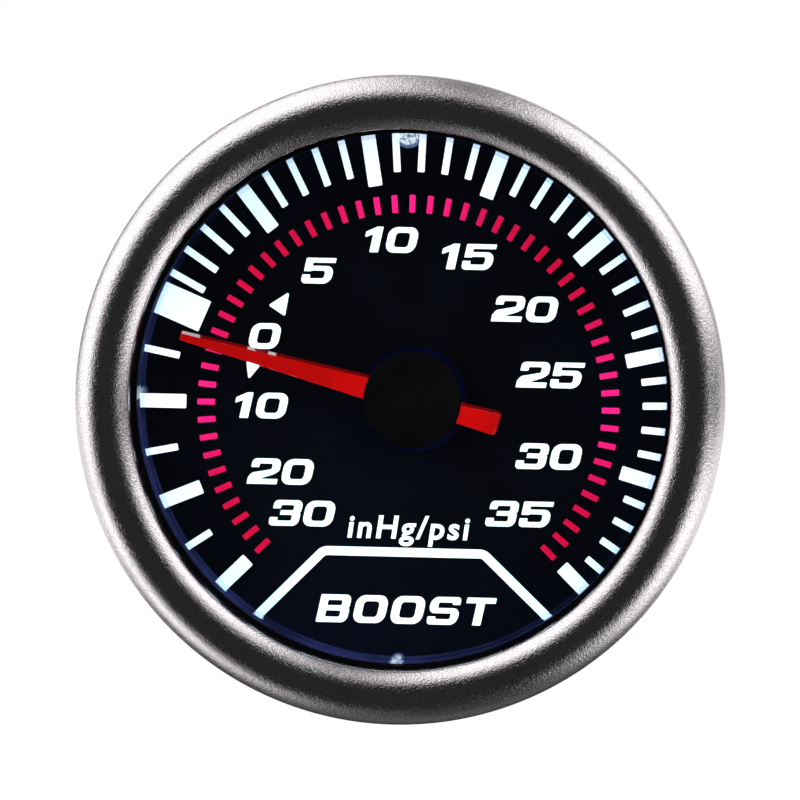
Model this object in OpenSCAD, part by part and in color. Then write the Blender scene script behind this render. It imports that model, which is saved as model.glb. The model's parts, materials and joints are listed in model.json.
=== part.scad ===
// Boost gauge for a panel hole, read by a Bourdon tube.
// The dial faces -Y and +Z is up. The origin is on the case's axis, at the face that seats on the panel.
// Every piece is drawn as seen from the front, x right and y up, with z as its height towards the viewer.

/* [Case] */
// Outside diameter of the case, the size that the panel hole is cut for
case_d = 52; // [50:0.5:54]
// Room in the case behind the Bourdon tube, for the pressure socket
back_room = 7; // [6:0.5:15]
// Thickness of the case's sheet
case_wall = 0.8; // [0.6:0.1:1]
// Rounding of the case's back corner
case_corner = 2; // [1.2:0.2:3]
// Thickness of the case's rolled flange
flange_t = 1.2; // [0.8:0.1:1.6]

/* [Bezel and lens] */
// Width of the bezel past the case, all round
bezel_over = 4; // [3.8:0.1:4.5]
// Height of the bezel in front of the panel
bezel_h = 8; // [7.5:0.1:10]
// Width of the bezel's bead
bead_w = 5; // [4.6:0.1:5.2]
// Radius of the bead's rounding
bead_r = 3; // [2.8:0.1:3.2]
// Place of the bead's crown across its width, from the inner edge, as a share of the width
crown_share = 0.45; // [0.42:0.01:0.5]
// Thickness of the bezel's sheet
bezel_sheet = 0.8; // [0.6:0.1:0.9]
// Chamfer at the back edge of the bezel
bezel_edge = 0.4; // [0.2:0.1:0.6]
// Thickness of the lens
lens_t = 2; // [1.6:0.1:2.2]
// Thickness of the rubber gasket behind the lens
gasket_t = 0.8; // [0.6:0.1:1]

/* [Dial] */
// Depth of the dial's face behind the panel seat
dial_sink = 2.2; // [1.6:0.1:2.6]
// Thickness of the dial
dial_t = 0.8; // [0.5:0.1:1]
// Radius of the dial's hole, round the pointer's hub
dial_hole_r = 4.9; // [4.7:0.1:5.4]
// Width of the clear ring that presses on the dial
clear_ring_w = 1; // [0.8:0.1:1.2]
// Wall of the clear ring's sleeve
clear_sleeve = 0.35; // [0.3:0.05:0.4]
// Thickness of the clear ring's foot
clear_foot = 0.8; // [0.6:0.1:1]
// Radius of the clear ring's large boss, at the top
boss_r = 1.34; // [1:0.02:1.5]
// Radius of the clear ring's small bosses
nib_r = 0.7; // [0.5:0.1:0.9]
// Height of the bosses
boss_h = 2; // [1:0.1:2.4]

/* [Lighting] */
// Thickness of the clear light guide behind the dial
guide_t = 1.5; // [1:0.1:2]
// Height of the white reflector
reflector_h = 3.5; // [3:0.1:4.5]
// Wall of the reflector
reflector_wall = 1.2; // [0.8:0.1:1.6]
// Outside radius of the reflector's inner collar
collar_r = 3.6; // [3.2:0.1:4]
// Thickness of the reflector's floor
reflector_floor = 0.6; // [0.5:0.1:0.8]
// Thickness of the circuit board
board_t = 1.2; // [0.8:0.1:1.6]
// Length of a lamp
led_l = 3.5; // [3:0.1:4]
// Width of a lamp
led_w = 2.8; // [2.4:0.1:3]
// Height of a lamp
led_h = 1.9; // [1.4:0.1:2.2]
// Number of lamps under the scale
rim_leds = 4; // [3:1:6]
// Distance of the scale's lamps from the axis
rim_led_r = 20.5; // [19:0.1:21]
// Distance of the two pointer lamps from the axis
hub_led_r = 6.6; // [6.4:0.1:8]
// Length of a resistor
resistor_l = 3.2; // [2:0.1:3.6]
// Number of resistors
resistor_count = 3; // [1:1:4]
// Length of the posts that the lead's wires are soldered to
post_l = 3; // [2:0.1:4]

/* [Movement] */
// Sideways place of the movement in the case
works_x = 0.9; // [-1:0.1:1]
// Height of the movement's axis above the case's axis
works_z = -0.2; // [-1:0.1:1]
// Thickness of the movement's plates
plate_t = 1; // [0.8:0.1:1.2]
// Gap between the movement's plates
plate_gap = 4; // [3.8:0.1:5]
// Rounding of the plates' corners, round each pillar
plate_corner = 2.4; // [2:0.1:2.8]
// Length of the standoffs under the circuit board
standoff_h = 3; // [2.4:0.1:4]
// Radius of the standoffs
standoff_r = 1.6; // [1.4:0.1:1.8]
// Radius of the pillars between the plates
pillar_r = 1.5; // [1.3:0.1:1.8]
// Radius of the pointer's arbor and of the sector's
arbor_r = 0.5; // [0.45:0.01:0.6]
// Radius of the arbors' pivots in the plates
pivot_r = 0.35; // [0.3:0.01:0.4]

/* [Gears] */
// Tooth size, as pitch diameter over number of teeth
tooth_size = 0.3; // [0.28:0.005:0.31]
// Teeth of the pinion
pinion_teeth = 12; // [12:1:12]
// Teeth that the sector would have as a full wheel
sector_teeth = 72; // [72:1:72]
// Length of the pinion's teeth
pinion_l = 1.6; // [1.2:0.1:1.8]
// Thickness of the sector
sector_t = 0.8; // [0.6:0.1:1]
// Distance of the link's pin from the sector's pivot
tail_r = 4.6; // [4.2:0.1:4.8]

/* [Bourdon tube] */
// Room between the tube and the case
tube_margin = 4.7; // [4.5:0.1:5.2]
// Width of the flattened tube across the coil
tube_w = 2; // [1.6:0.1:2.2]
// Height of the flattened tube along the case's axis
tube_h = 7; // [5:0.5:7.5]
// Wall of the tube
tube_wall = 0.35; // [0.25:0.05:0.45]
// Distance of the tube behind the movement's back plate
tube_drop = 1.8; // [1.6:0.1:3]
// Wall of the cap on the tube's free end
tip_wall = 0.6; // [0.5:0.1:0.8]
// Length of the cap on the tube's free end
tip_l = 3.4; // [3:0.1:4]
// Thickness of the link
link_t = 0.5; // [0.4:0.05:0.6]
// Radius of the link's eyes
link_eye_r = 1; // [0.9:0.1:1.2]
// Radius of the link's two pins
link_pin_r = 0.45; // [0.4:0.01:0.5]

/* [Pressure socket] */
// Radius of the socket's column
column_r = 5.2; // [5:0.1:5.6]
// Half-width of the arm that holds the tube's root
arm_half_w = 4; // [3.6:0.1:4.6]
// Radius of the socket's base flange
socket_flange_r = 9.6; // [9.2:0.1:10.5]
// Thickness of the socket's base flange
socket_flange_t = 2.6; // [2:0.1:3.5]
// Radius of the socket's stub through the case's back
stub_r = 4.5; // [4.2:0.1:4.8]
// Length of the stub behind the case
stub_l = 2.6; // [2.4:0.1:4]
// Radius of the pressure passage
passage_r = 1; // [0.6:0.1:1.2]
// Size across the flats of the nipple's hexagon
nipple_flats = 9; // [8:0.1:9.2]
// Height of the nipple's hexagon
nipple_hex_h = 4; // [3:0.1:5]
// Radius of the nipple, for a hose of 4 mm bore
nipple_r = 2.1; // [1.9:0.05:2.3]
// Length of the nipple's plain part
nipple_l = 6; // [5:0.5:10]
// Length of each of the nipple's barbs
barb_l = 1.8; // [1.4:0.1:2.4]
// Number of barbs
barbs = 3; // [1:1:4]

/* [Clamp] */
// Radius of the mounting studs
stud_r = 2; // [1.8:0.1:2.2]
// Distance of each stud from the case's axis
stud_x = 16; // [15:0.5:17]
// Length of the studs behind the case
stud_l = 22; // [18:0.5:26]
// Thickness of the clamp bracket's strip
strap_t = 1; // [0.9:0.1:1.2]
// Width of the clamp bracket's strip
strap_w = 16; // [15:0.5:17]
// Room between the bracket's legs and the case
strap_gap = 1; // [0.9:0.1:1.2]
// Distance of the bracket behind the case when clamped
strap_back = 2.4; // [2:0.1:4]
// Thickness of the panel that the bracket clamps
panel_t = 3; // [1:0.5:6]
// Rounding of the bracket's bends
strap_bend = 2.4; // [2:0.1:3]
// Radius of the thumb nuts
nut_r = 4.6; // [4:0.1:5.5]
// Height of the thumb nuts
nut_h = 5; // [4:0.5:7]
// Thickness of the lock washers
washer_t = 0.9; // [0.6:0.1:1.2]
// Radius of the rubber grommet's neck
grommet_r = 3.2; // [2.8:0.1:3.6]
// Radius of the grommet's bore, where the lead goes in
grommet_bore_r = 1.8; // [1.2:0.1:2.2]

/* [Pointer] */
// Length of the pointer from its axis to its tip
pointer_l = 22.5; // [20:0.1:22.8]
// Width of the pointer's tip
pointer_tip_w = 0.9; // [0.6:0.1:1.2]
// Width of the pointer where it leaves the hub cap
pointer_root_w = 2.3; // [1.8:0.1:2.6]
// Length of the pointer's tail from its axis
tail_l = 8.3; // [7:0.1:9]
// Width of the tail at its end
tail_w = 2.36; // [1.8:0.02:2.8]
// Width of the tail where it leaves the hub cap
tail_root_w = 2; // [1.6:0.1:2.4]
// Thickness of the pointer
pointer_t = 0.9; // [0.6:0.1:1.1]
// Gap between the pointer and the dial
pointer_gap = 1.6; // [1.2:0.1:1.8]
// Radius of the hub cap
cap_r = 4.55; // [4.2:0.05:4.6]
// Thickness of the hub cap's top
cap_t = 0.6; // [0.5:0.1:0.9]
// Angle of the pointer at rest, counterclockwise from three o'clock
rest_angle = 165.7; // [150:0.1:170]

/* [Hidden] */
$fn = 96;

// Overrun of every cut past the face that it opens
over = 0.5;
// Radial gap between a fixed shank and its hole
fit_gap = 0.05;
// Radial gap of a turning pivot
turn_gap = 0.03;
// Radial gap between rings that nest in each other
nest_gap = 0.06;
// Gap between the stack of rings and the case
ring_gap = 0.1;
// Steps of a small outline arc
arc_steps = 6;

// Radii of the case and the bezel
case_r = case_d / 2;
case_in_r = case_r - case_wall;
bezel_r = case_r + bezel_over;
opening_r = bezel_r - bead_w;
bead_axis_r = opening_r + crown_share * bead_w;
rim_gap = 0.8;
rim_r = bezel_r - bezel_sheet - rim_gap;
neck_step = 0.3;
neck_r = case_r + neck_step;
lip_r = neck_r + fit_gap;

// Heights in front of the panel seat
flange_back = bezel_sheet;
flange_front = flange_back + flange_t;
lens_back = flange_front + gasket_t;
lens_front = lens_back + lens_t;
bead_mid = bezel_h - bead_r;

// Heights of the dial and the lighting, behind the panel seat
dial_front = -dial_sink;
dial_back = dial_front - dial_t;
guide_back = dial_back - guide_t;
board_front = guide_back - reflector_h;
board_back = board_front - board_t;

// Heights of the movement
front_plate_front = board_back - standoff_h;
front_plate_back = front_plate_front - plate_t;
back_plate_front = front_plate_back - plate_gap;
back_plate_back = back_plate_front - plate_t;
tube_front = back_plate_back - tube_drop;
tube_back = tube_front - tube_h;
case_depth = back_room - tube_back;
case_back_in = -case_depth + case_wall;
socket_gasket_t = 0.8;
socket_back = case_back_in + socket_gasket_t;

// Clear ring and shade ring
clear_in_r = case_in_r - clear_ring_w;
clear_out_r = clear_in_r + clear_sleeve;
stack_r = case_in_r - ring_gap;
boss_inset = clear_sleeve / 2;

// Reflector, board, lamps and their small parts
arbor_room_r = 1.6;
collar_in_r = collar_r - reflector_wall;
led_gap = 0.2;
led_dish_share = 0.36;
led_dish_depth_share = 0.2;
led_dish_r = led_w * led_dish_share;
led_dish_h = led_h * led_dish_depth_share;
hub_led_turn = 45;
resistor_w = resistor_l / 2;
resistor_t_share = 0.18;
resistor_t = resistor_l * resistor_t_share;
resistor_at_r = 16;
resistor_start = 110;
resistor_step = 18;
post_r = 0.45;
post_at_r = 13;
post_start = 45;
post_step = 14;
post_count = 3;

// Small screws of the movement
small_shank_r = 0.75;
small_head_r = 1.5;
small_head_h = 0.7;
slot_w = 0.3;
slot_depth_share = 0.5;

// Gears: the pinion has a tooth, and the sector a gap, on the line between their axes
pinion_pitch_r = tooth_size * pinion_teeth / 2;
sector_pitch_r = tooth_size * sector_teeth / 2;
gear_distance = pinion_pitch_r + sector_pitch_r;
pressure_angle = 25;
addendum_share = 0.8;
dedendum_share = 1.1;
tooth_width_share = 0.44;
flank_steps = 4;
sector_turn = -10;
sector_at = gear_distance * [cos(sector_turn), sin(sector_turn)];
sector_first_tooth = -8;
sector_last_tooth = 2;
sector_hub_r = 1.7;
sector_rim_w = 1.7;
window_web = 1.3;
window_in_r = sector_hub_r + window_web;
window_turn = 7;
tail_turn = -2.1;
tail_half_w = 1.1;
slot_half_l = 0.5;
slot_gap = 0.1;

// Heights of the gears, the link and the hairspring
pinion_drop = 1.2;
pinion_front = front_plate_back - pinion_drop;
sector_front = pinion_front - (pinion_l - sector_t) / 2;
sector_back = sector_front - sector_t;
link_gap = 0.3;
link_front = sector_back - link_gap;
link_back = link_front - link_t;
pin_head_r = 0.8;
pin_head_t = 0.5;
screw_head_t = 0.6;
spring_front = front_plate_back - 0.3;
spring_h = 0.5;
spring_strip = 0.12;
spring_in_r = 1.06;
spring_out_r = 3.4;
spring_turns = 5;
spring_steps = 24;
collet_h = 0.7;
pivot_l = plate_t - 0.2;
front_pivot_l = plate_t - 0.2;

// Bourdon tube, seen from the front: from its root at the bottom, clockwise to its free end
tube_r = case_in_r - tube_margin - tube_w / 2;
root_turn = -90;
tip_turn = 15;
tube_end_turn = tip_turn + 2;
tube_sweep = 360 - (tube_end_turn - root_turn);
tip_at = tube_r * [cos(tip_turn), sin(tip_turn)];
tail_pin_at = sector_at + tail_r * [cos(tail_turn), sin(tail_turn)];
link_vector = tail_pin_at - tip_at;
link_l = norm(link_vector);
link_turn = atan2(link_vector.y, link_vector.x);
tip_boss_r = link_eye_r;

// Plates: a pillar at each corner
pillar_places = [[-4.6, 5.4], [-4.6, -5.6], [14.2, -9.2], [12.4, 6]];
standoff_places = [[-5.35, 0], [11, 2.4], [9, -7.6]];
spring_stud_r = 0.35;
spring_stud_turn = 110;

// Pressure socket
arm_past_tube = 1.2;
arm_end = tube_r + tube_w / 2 + arm_past_tube;
arm_margin = 0.5;
root_turn_margin = 4;
root_turn_span = asin(arm_half_w / tube_r) + root_turn_margin;
stub_back = -case_depth - stub_l;
socket_screw_at_r = 7.1;
socket_screw_r = 0.9;
socket_screw_head_r = 1.7;
socket_screw_head_h = 1.1;
socket_screw_l = 2;
socket_screw_turn = 90;
plate_screw_x = 3.5;
plate_screw_depth = 3;
spigot_r = 2.6;
spigot_l = 5;
seal_t = 0.8;
nipple_top = stub_back - seal_t;
nipple_hex_r = nipple_flats / 2 / cos(30);
nipple_start = nipple_top - nipple_hex_h;
barb_neck_share = 0.84;
nipple_land_end = nipple_start - nipple_l;
nipple_end = nipple_land_end - barbs * barb_l;

// Clamp
strap_in = -case_depth - strap_back;
strap_out = strap_in - strap_t;
strap_in_x = case_r + strap_gap;
strap_out_x = strap_in_x + strap_t;
strap_hole_r = 5.9;
leg_end = -panel_t;
stud_head_r = 3.5;
stud_head_t = 0.8;
washer_r = 3.8;
washer_cut_w = 0.7;
nut_flutes = 24;
flute_share = 0.92;
nut_collar_h = 1.2;
nut_back = strap_out - washer_t - nut_h;
grommet_at = [-10, 13];
grommet_flange_w = 1.2;
grommet_flange_t = 1;

// Pointer
pointer_back = dial_front + pointer_gap;
pointer_front = pointer_back + pointer_t;
hub_r = 2.4;
hub_drop = 0.5;
hub_floor = 0.3;
cap_front = pointer_front + cap_t;
cap_skirt = 0.5;
cap_edge = 0.3;
cap_gap = 0.15;

// Turns a piece drawn as seen from the front so that it faces -Y
module faced() {
    rotate([90, 0, 0]) children();
}

// Moves a piece from the case's axis to the movement's axis
module works() {
    translate([works_x, works_z, 0]) children();
}

module disc(r, low, high) {
    translate([0, 0, low]) cylinder(r = r, h = high - low);
}

module ring(out_r, in_r, low, high) {
    difference() {
        disc(out_r, low, high);
        disc(in_r, low - over, high + over);
    }
}

module slab(x, y, low, high) {
    translate([-x / 2, -y / 2, low]) cube([x, y, high - low]);
}

// Round stretch of an outline
function arc(centre, r, from, to) = [
    for (i = [0:arc_steps])
        let (a = from + (to - from) * i / arc_steps) centre + r * [cos(a), sin(a)]
];

function polar(r, a) = r * [cos(a), sin(a)];

// Slotted screw with the underside of its head at z = 0 and its shank going down
module screw(head_r, head_h, shank_r, shank_l) {
    difference() {
        union() {
            disc(head_r, 0, head_h);
            disc(shank_r, -shank_l, head_h / 2);
        }
        slab(2 * head_r + over, slot_w, head_h * (1 - slot_depth_share), head_h + over);
    }
}

// Involute teeth
function unwind(r, base_r) = let (a = acos(min(1, base_r / r))) tan(a) * 180 / PI - a;

function half_tooth(r, teeth) =
    let (pitch_r = tooth_size * teeth / 2, base_r = pitch_r * cos(pressure_angle))
    180 / teeth * tooth_width_share + unwind(pitch_r, base_r) - unwind(max(r, base_r), base_r);

function flank_radii(teeth) =
    let (
        pitch_r = tooth_size * teeth / 2,
        low = max(pitch_r * cos(pressure_angle), pitch_r - dedendum_share * tooth_size),
        high = pitch_r + addendum_share * tooth_size
    )
    [for (i = [0:flank_steps]) low + (high - low) * i / flank_steps];

function tooth_points(middle, teeth) =
    let (
        radii = flank_radii(teeth),
        root_r = tooth_size * (teeth / 2 - dedendum_share),
        half_root = half_tooth(radii[0], teeth)
    )
    concat(
        root_r < radii[0] ? [polar(root_r, middle - half_root)] : [],
        [for (r = radii) polar(r, middle - half_tooth(r, teeth))],
        [for (i = [flank_steps:-1:0]) polar(radii[i], middle + half_tooth(radii[i], teeth))],
        root_r < radii[0] ? [polar(root_r, middle + half_root)] : []
    );

module pinion_outline() {
    polygon([
        for (i = [0:pinion_teeth - 1]) each tooth_points(i * 360 / pinion_teeth, pinion_teeth)
    ]);
}

module sector_outline() {
    step = 360 / sector_teeth;
    polygon(concat(
        [[0, 0]],
        [
            for (i = [sector_first_tooth:sector_last_tooth])
                each tooth_points((i + 0.5) * step, sector_teeth)
        ]
    ));
}

// Outline with a round corner at each place: straight edges that touch the corners' circles
function plate_edge(places, r) = [
    for (i = [0:len(places) - 1])
        let (
            a = places[i],
            b = places[(i + 1) % len(places)],
            along = (b - a) / norm(b - a),
            side = r * [along.y, -along.x]
        )
        each [a + side, b + side]
];

module plate_outline() {
    polygon(plate_edge(pillar_places, plate_corner));
    for (p = pillar_places) translate(p) circle(r = plate_corner);
}

// Section of the bezel's bead, drawn in from its outside all round
module bead_section(inset) {
    intersection() {
        translate([opening_r + inset, inset]) square([bead_w - 2 * inset, bezel_h]);
        union() {
            translate([bead_axis_r, bead_mid]) circle(r = bead_r - inset);
            translate([opening_r, inset]) square([bead_w, bead_mid - inset]);
        }
    }
}

module bezel_profile() {
    difference() {
        // Rounded bead, and the block that its walls and lip are cut from
        bead_section(0);
        // Inside of the sheet
        bead_section(bezel_sheet);
        // Room for the lens, its gasket and the case's flange, between the inner leg and the lip
        translate([opening_r - over, -over]) square([lip_r - opening_r + over, lens_front + over]);
        // Chamfer at the back edge
        polygon([
            [bezel_r - 2 * bezel_edge, -bezel_edge], [bezel_r + bezel_edge, 2 * bezel_edge],
            [bezel_r + bezel_edge, -bezel_edge]
        ]);
    }
}

module bezel_ring() {
    color("dimgray") faced() rotate_extrude() bezel_profile();
}

module lens() {
    color("lightcyan", 0.3) faced() disc(rim_r, lens_back, lens_front);
}

module lens_gasket() {
    color("black") faced() ring(rim_r, case_r, flange_front, lens_back);
}

module case_cup() {
    inner_corner = case_corner - case_wall;
    color([0.1, 0.1, 0.11]) faced() difference() {
        rotate_extrude() polygon(concat(
            [[case_in_r, flange_front], [rim_r, flange_front], [rim_r, flange_back]],
            [[neck_r, flange_back], [neck_r, 0], [case_r, 0]],
            arc([case_r - case_corner, case_corner - case_depth], case_corner, 0, -90),
            [[0, -case_depth], [0, case_back_in]],
            arc([case_r - case_corner, case_corner - case_depth], inner_corner, -90, 0)
        ));
        works() disc(stub_r + fit_gap, -case_depth - over, case_back_in + over);
        works() for (i = [0:2]) rotate(socket_screw_turn + i * 120)
            translate([socket_screw_at_r, 0, 0])
                disc(socket_screw_r + fit_gap, -case_depth - over, case_back_in + over);
        for (side = [-1, 1]) translate([side * stud_x, 0, 0])
            disc(stud_r + fit_gap, -case_depth - over, case_back_in + over);
        translate(grommet_at)
            disc(grommet_r + fit_gap, -case_depth - over, case_back_in + over);
    }
}

module shade_ring() {
    color([0.05, 0.05, 0.06]) faced()
        ring(stack_r, clear_out_r + nest_gap, dial_front + clear_foot, lens_back);
}

module clear_ring() {
    color("lightblue", 0.5) faced() {
        ring(clear_out_r, clear_in_r, dial_front + clear_foot / 2, lens_back);
        ring(stack_r, clear_in_r, dial_front, dial_front + clear_foot);
        // Bosses at 12 o'clock, and at 9 and 6 o'clock
        intersection() {
            disc(clear_in_r + boss_inset, dial_front, dial_front + boss_h);
            union() {
                translate([0, clear_out_r, 0]) disc(boss_r, dial_front - over, dial_front + boss_h + over);
                translate([-clear_out_r, 0, 0]) disc(nib_r, dial_front - over, dial_front + boss_h + over);
                translate([0, -clear_out_r, 0]) disc(nib_r, dial_front - over, dial_front + boss_h + over);
            }
        }
    }
}

module dial_plate() {
    color([0.04, 0.05, 0.1]) faced() difference() {
        disc(stack_r, dial_back, dial_front);
        works() disc(dial_hole_r, dial_back - over, dial_front + over);
    }
}

module light_guide() {
    color("aliceblue", 0.6) faced() difference() {
        disc(stack_r, guide_back, dial_back);
        works() disc(arbor_room_r, guide_back - over, dial_back + over);
    }
}

// Places of the lamps: some under the scale, and two beside the hub
module led_places() {
    for (i = [0:rim_leds - 1]) rotate(i * 360 / rim_leds) translate([rim_led_r, 0, 0]) children();
    for (i = [0:1]) rotate(hub_led_turn + i * 180) translate([hub_led_r, 0, 0]) children();
}

module reflector() {
    floor_top = board_front + reflector_floor;
    color("white") faced() difference() {
        union() {
            ring(stack_r, stack_r - reflector_wall, board_front, guide_back);
            disc(stack_r - reflector_wall / 2, board_front, floor_top);
            works() disc(collar_r, board_front, guide_back);
        }
        works() disc(collar_in_r, board_front - over, guide_back + over);
        led_places()
            slab(led_w + 2 * led_gap, led_l + 2 * led_gap, board_front - over, floor_top + over);
        works() for (p = standoff_places) translate(p)
            disc(small_shank_r + fit_gap, board_front - over, floor_top + over);
    }
}

module led_board() {
    color("darkgreen") faced() difference() {
        disc(stack_r - ring_gap, board_back, board_front);
        works() disc(collar_in_r, board_back - over, board_front + over);
        works() for (p = standoff_places) translate(p)
            disc(small_shank_r + fit_gap, board_back - over, board_front + over);
    }
}

module leds() {
    color("ivory") faced() led_places() difference() {
        slab(led_w, led_l, board_front, board_front + led_h);
        disc(led_dish_r, board_front + led_h - led_dish_h, board_front + led_h + over);
    }
}

module resistors() {
    color("dimgray") faced() for (i = [0:resistor_count - 1])
        rotate(resistor_start + i * resistor_step) translate([resistor_at_r, 0, 0])
            slab(resistor_l, resistor_w, board_back - resistor_t, board_back);
}

module solder_posts() {
    color("silver") faced() for (i = [0:post_count - 1])
        rotate(post_start + i * post_step) translate([post_at_r, 0, 0])
            disc(post_r, board_back - post_l, board_back);
}

module board_standoffs() {
    color("goldenrod") faced() works() for (p = standoff_places) translate(p)
        ring(standoff_r, small_shank_r + fit_gap, front_plate_front, board_back);
}

module board_screws() {
    color("silver") faced() works() for (p = standoff_places)
        translate([p.x, p.y, board_front + reflector_floor])
            screw(small_head_r, small_head_h, small_shank_r, board_t + standoff_h);
}

module movement_front_plate() {
    color("gold") faced() works() difference() {
        translate([0, 0, front_plate_back]) linear_extrude(plate_t) plate_outline();
        disc(arbor_r + turn_gap, front_plate_back - over, front_plate_front + over);
        translate(sector_at) disc(pivot_r + turn_gap, front_plate_back - over, front_plate_front + over);
        for (p = pillar_places) translate(p)
            disc(small_shank_r + fit_gap, front_plate_back - over, front_plate_front + over);
    }
}

module movement_back_plate() {
    color("gold") faced() works() difference() {
        translate([0, 0, back_plate_back]) linear_extrude(plate_t) plate_outline();
        disc(pivot_r + turn_gap, back_plate_back - over, back_plate_front + over);
        translate(sector_at) disc(pivot_r + turn_gap, back_plate_back - over, back_plate_front + over);
        for (side = [-1, 1]) translate([0, side * plate_screw_x, 0])
            disc(small_shank_r + fit_gap, back_plate_back - over, back_plate_front + over);
    }
}

module movement_pillars() {
    color("goldenrod") faced() works() for (p = pillar_places) translate(p) difference() {
        disc(pillar_r, back_plate_front, front_plate_back);
        disc(small_shank_r + fit_gap, back_plate_front + plate_t, front_plate_back + over);
    }
}

module plate_screws() {
    color("silver") faced() works() for (p = pillar_places) translate([p.x, p.y, front_plate_front])
        screw(small_head_r, small_head_h, small_shank_r, plate_t + plate_gap / 2);
}

module movement_screws() {
    color("silver") faced() works() for (side = [-1, 1])
        translate([0, side * plate_screw_x, back_plate_front])
            screw(small_head_r - spring_strip, small_head_h, small_shank_r, plate_t + plate_screw_depth);
}

module pointer_arbor() {
    color("silver") faced() works() {
        disc(pivot_r, back_plate_front - pivot_l, back_plate_front + over / 2);
        disc(arbor_r, back_plate_front + fit_gap, pointer_front - hub_floor);
        rotate(sector_turn) translate([0, 0, pinion_front - pinion_l])
            linear_extrude(pinion_l) pinion_outline();
    }
}

module hairspring_collet() {
    color("goldenrod") faced() works()
        ring(spring_in_r - nest_gap, arbor_r + fit_gap, spring_front - collet_h, spring_front);
}

// Flat spiral strip from the collet to the stud
module hairspring() {
    steps = spring_turns * spring_steps;
    grow = (spring_out_r - spring_in_r) / steps;
    end_turn = spring_stud_turn;
    function at(i, r) = polar(spring_in_r + i * grow + r, end_turn + (i - steps) * 360 / spring_steps);
    color("peru") faced() works() translate([0, 0, spring_front - spring_h])
        linear_extrude(spring_h) polygon(concat(
            [for (i = [0:steps]) at(i, 0)],
            [for (i = [steps:-1:0]) at(i, spring_strip)]
        ));
}

module hairspring_stud() {
    color("goldenrod") faced() works() rotate(spring_stud_turn)
        translate([spring_out_r + spring_strip + nest_gap + spring_stud_r, 0, 0])
            disc(spring_stud_r, spring_front - collet_h, front_plate_back);
}

// Outline of the pointer along +x, with its tail along -x
module pointer_outline() {
    root_slope = (pointer_root_w - pointer_tip_w) / (pointer_l - cap_r);
    tail_slope = (tail_w - tail_root_w) / (tail_l - cap_r);
    middle_w = pointer_root_w + root_slope * cap_r;
    tail_middle_w = tail_root_w - tail_slope * cap_r;
    polygon([
        [pointer_l, -pointer_tip_w / 2], [pointer_l, pointer_tip_w / 2],
        [0, middle_w / 2], [0, -middle_w / 2]
    ]);
    polygon([
        [-tail_l, tail_w / 2], [-tail_l, -tail_w / 2],
        [0, -tail_middle_w / 2], [0, tail_middle_w / 2]
    ]);
}

module pointer() {
    color("red") faced() works() rotate(rest_angle) difference() {
        union() {
            translate([0, 0, pointer_back]) linear_extrude(pointer_t) pointer_outline();
            disc(hub_r, pointer_back - hub_drop, pointer_front);
        }
        disc(arbor_r + fit_gap / 2, pointer_back - hub_drop - over, pointer_front - hub_floor);
    }
}

module hub_cap() {
    skirt_back = pointer_back;
    color([0.06, 0.06, 0.06]) faced() works() rotate(rest_angle) difference() {
        rotate_extrude() polygon([
            [0, pointer_front], [cap_r - cap_skirt, pointer_front], [cap_r - cap_skirt, skirt_back],
            [cap_r, skirt_back], [cap_r, cap_front - cap_edge], [cap_r - cap_edge, cap_front],
            [0, cap_front]
        ]);
        // Notches for the pointer and its tail
        translate([0, -(pointer_root_w + cap_gap) / 2, skirt_back - over])
            cube([cap_r + over, pointer_root_w + cap_gap, pointer_t + over]);
        translate([-cap_r - over, -(tail_root_w + cap_gap) / 2, skirt_back - over])
            cube([cap_r + over, tail_root_w + cap_gap, pointer_t + over]);
    }
}

module sector_gear() {
    face_turn = 180 + sector_turn;
    step = 360 / sector_teeth;
    first = sector_first_tooth * step + window_turn;
    last = (sector_last_tooth + 1) * step - window_turn;
    window_out_r = sector_pitch_r - sector_rim_w;
    color("gold") faced() works() translate(sector_at) translate([0, 0, sector_back])
        difference() {
            linear_extrude(sector_t) {
                rotate(face_turn) sector_outline();
                circle(r = sector_hub_r);
                rotate(tail_turn) {
                    translate([0, -tail_half_w]) square([tail_r + slot_half_l, 2 * tail_half_w]);
                    translate([tail_r + slot_half_l, 0]) circle(r = tail_half_w);
                }
            }
            // Window between the hub and the toothed rim
            rotate(face_turn) translate([0, 0, -over]) linear_extrude(sector_t + 2 * over)
                intersection() {
                    difference() {
                        circle(r = window_out_r);
                        circle(r = window_in_r);
                    }
                    polygon([[0, 0], polar(sector_pitch_r, first), polar(sector_pitch_r, (first + last) / 2),
                        polar(sector_pitch_r, last)]);
                }
            // Slot for the link's pin
            rotate(tail_turn) translate([tail_r, 0, -over]) linear_extrude(sector_t + 2 * over) {
                slot_r = link_pin_r + slot_gap;
                translate([-slot_half_l, 0]) circle(r = slot_r);
                translate([slot_half_l, 0]) circle(r = slot_r);
                translate([-slot_half_l, -slot_r]) square([2 * slot_half_l, 2 * slot_r]);
            }
            disc(arbor_r + fit_gap / 2, -over, sector_t + over);
        }
}

module sector_arbor() {
    color("silver") faced() works() translate(sector_at) {
        disc(pivot_r, back_plate_front - pivot_l, front_plate_back + front_pivot_l);
        disc(arbor_r, back_plate_front + fit_gap, front_plate_back - fit_gap);
    }
}

// Flattened section of the tube, with round ends
module tube_section(w, h) {
    translate([-w / 2, -(h - w) / 2]) square([w, h - w]);
    for (side = [-1, 1]) translate([0, side * (h - w) / 2]) circle(r = w / 2);
}

// Stretch of the tube's ring, from one turn counterclockwise to the next
module tube_stretch(w, h, from, span) {
    translate([0, 0, tube_front - tube_h / 2]) rotate(from) rotate_extrude(angle = span)
        translate([tube_r, 0]) tube_section(w, h);
}

module bourdon_tube() {
    end_margin = 2;
    color("peru") faced() works() difference() {
        tube_stretch(tube_w, tube_h, tube_end_turn, tube_sweep);
        tube_stretch(tube_w - 2 * tube_wall, tube_h - 2 * tube_wall, tube_end_turn - end_margin,
            tube_sweep + 2 * end_margin);
    }
}

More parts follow.
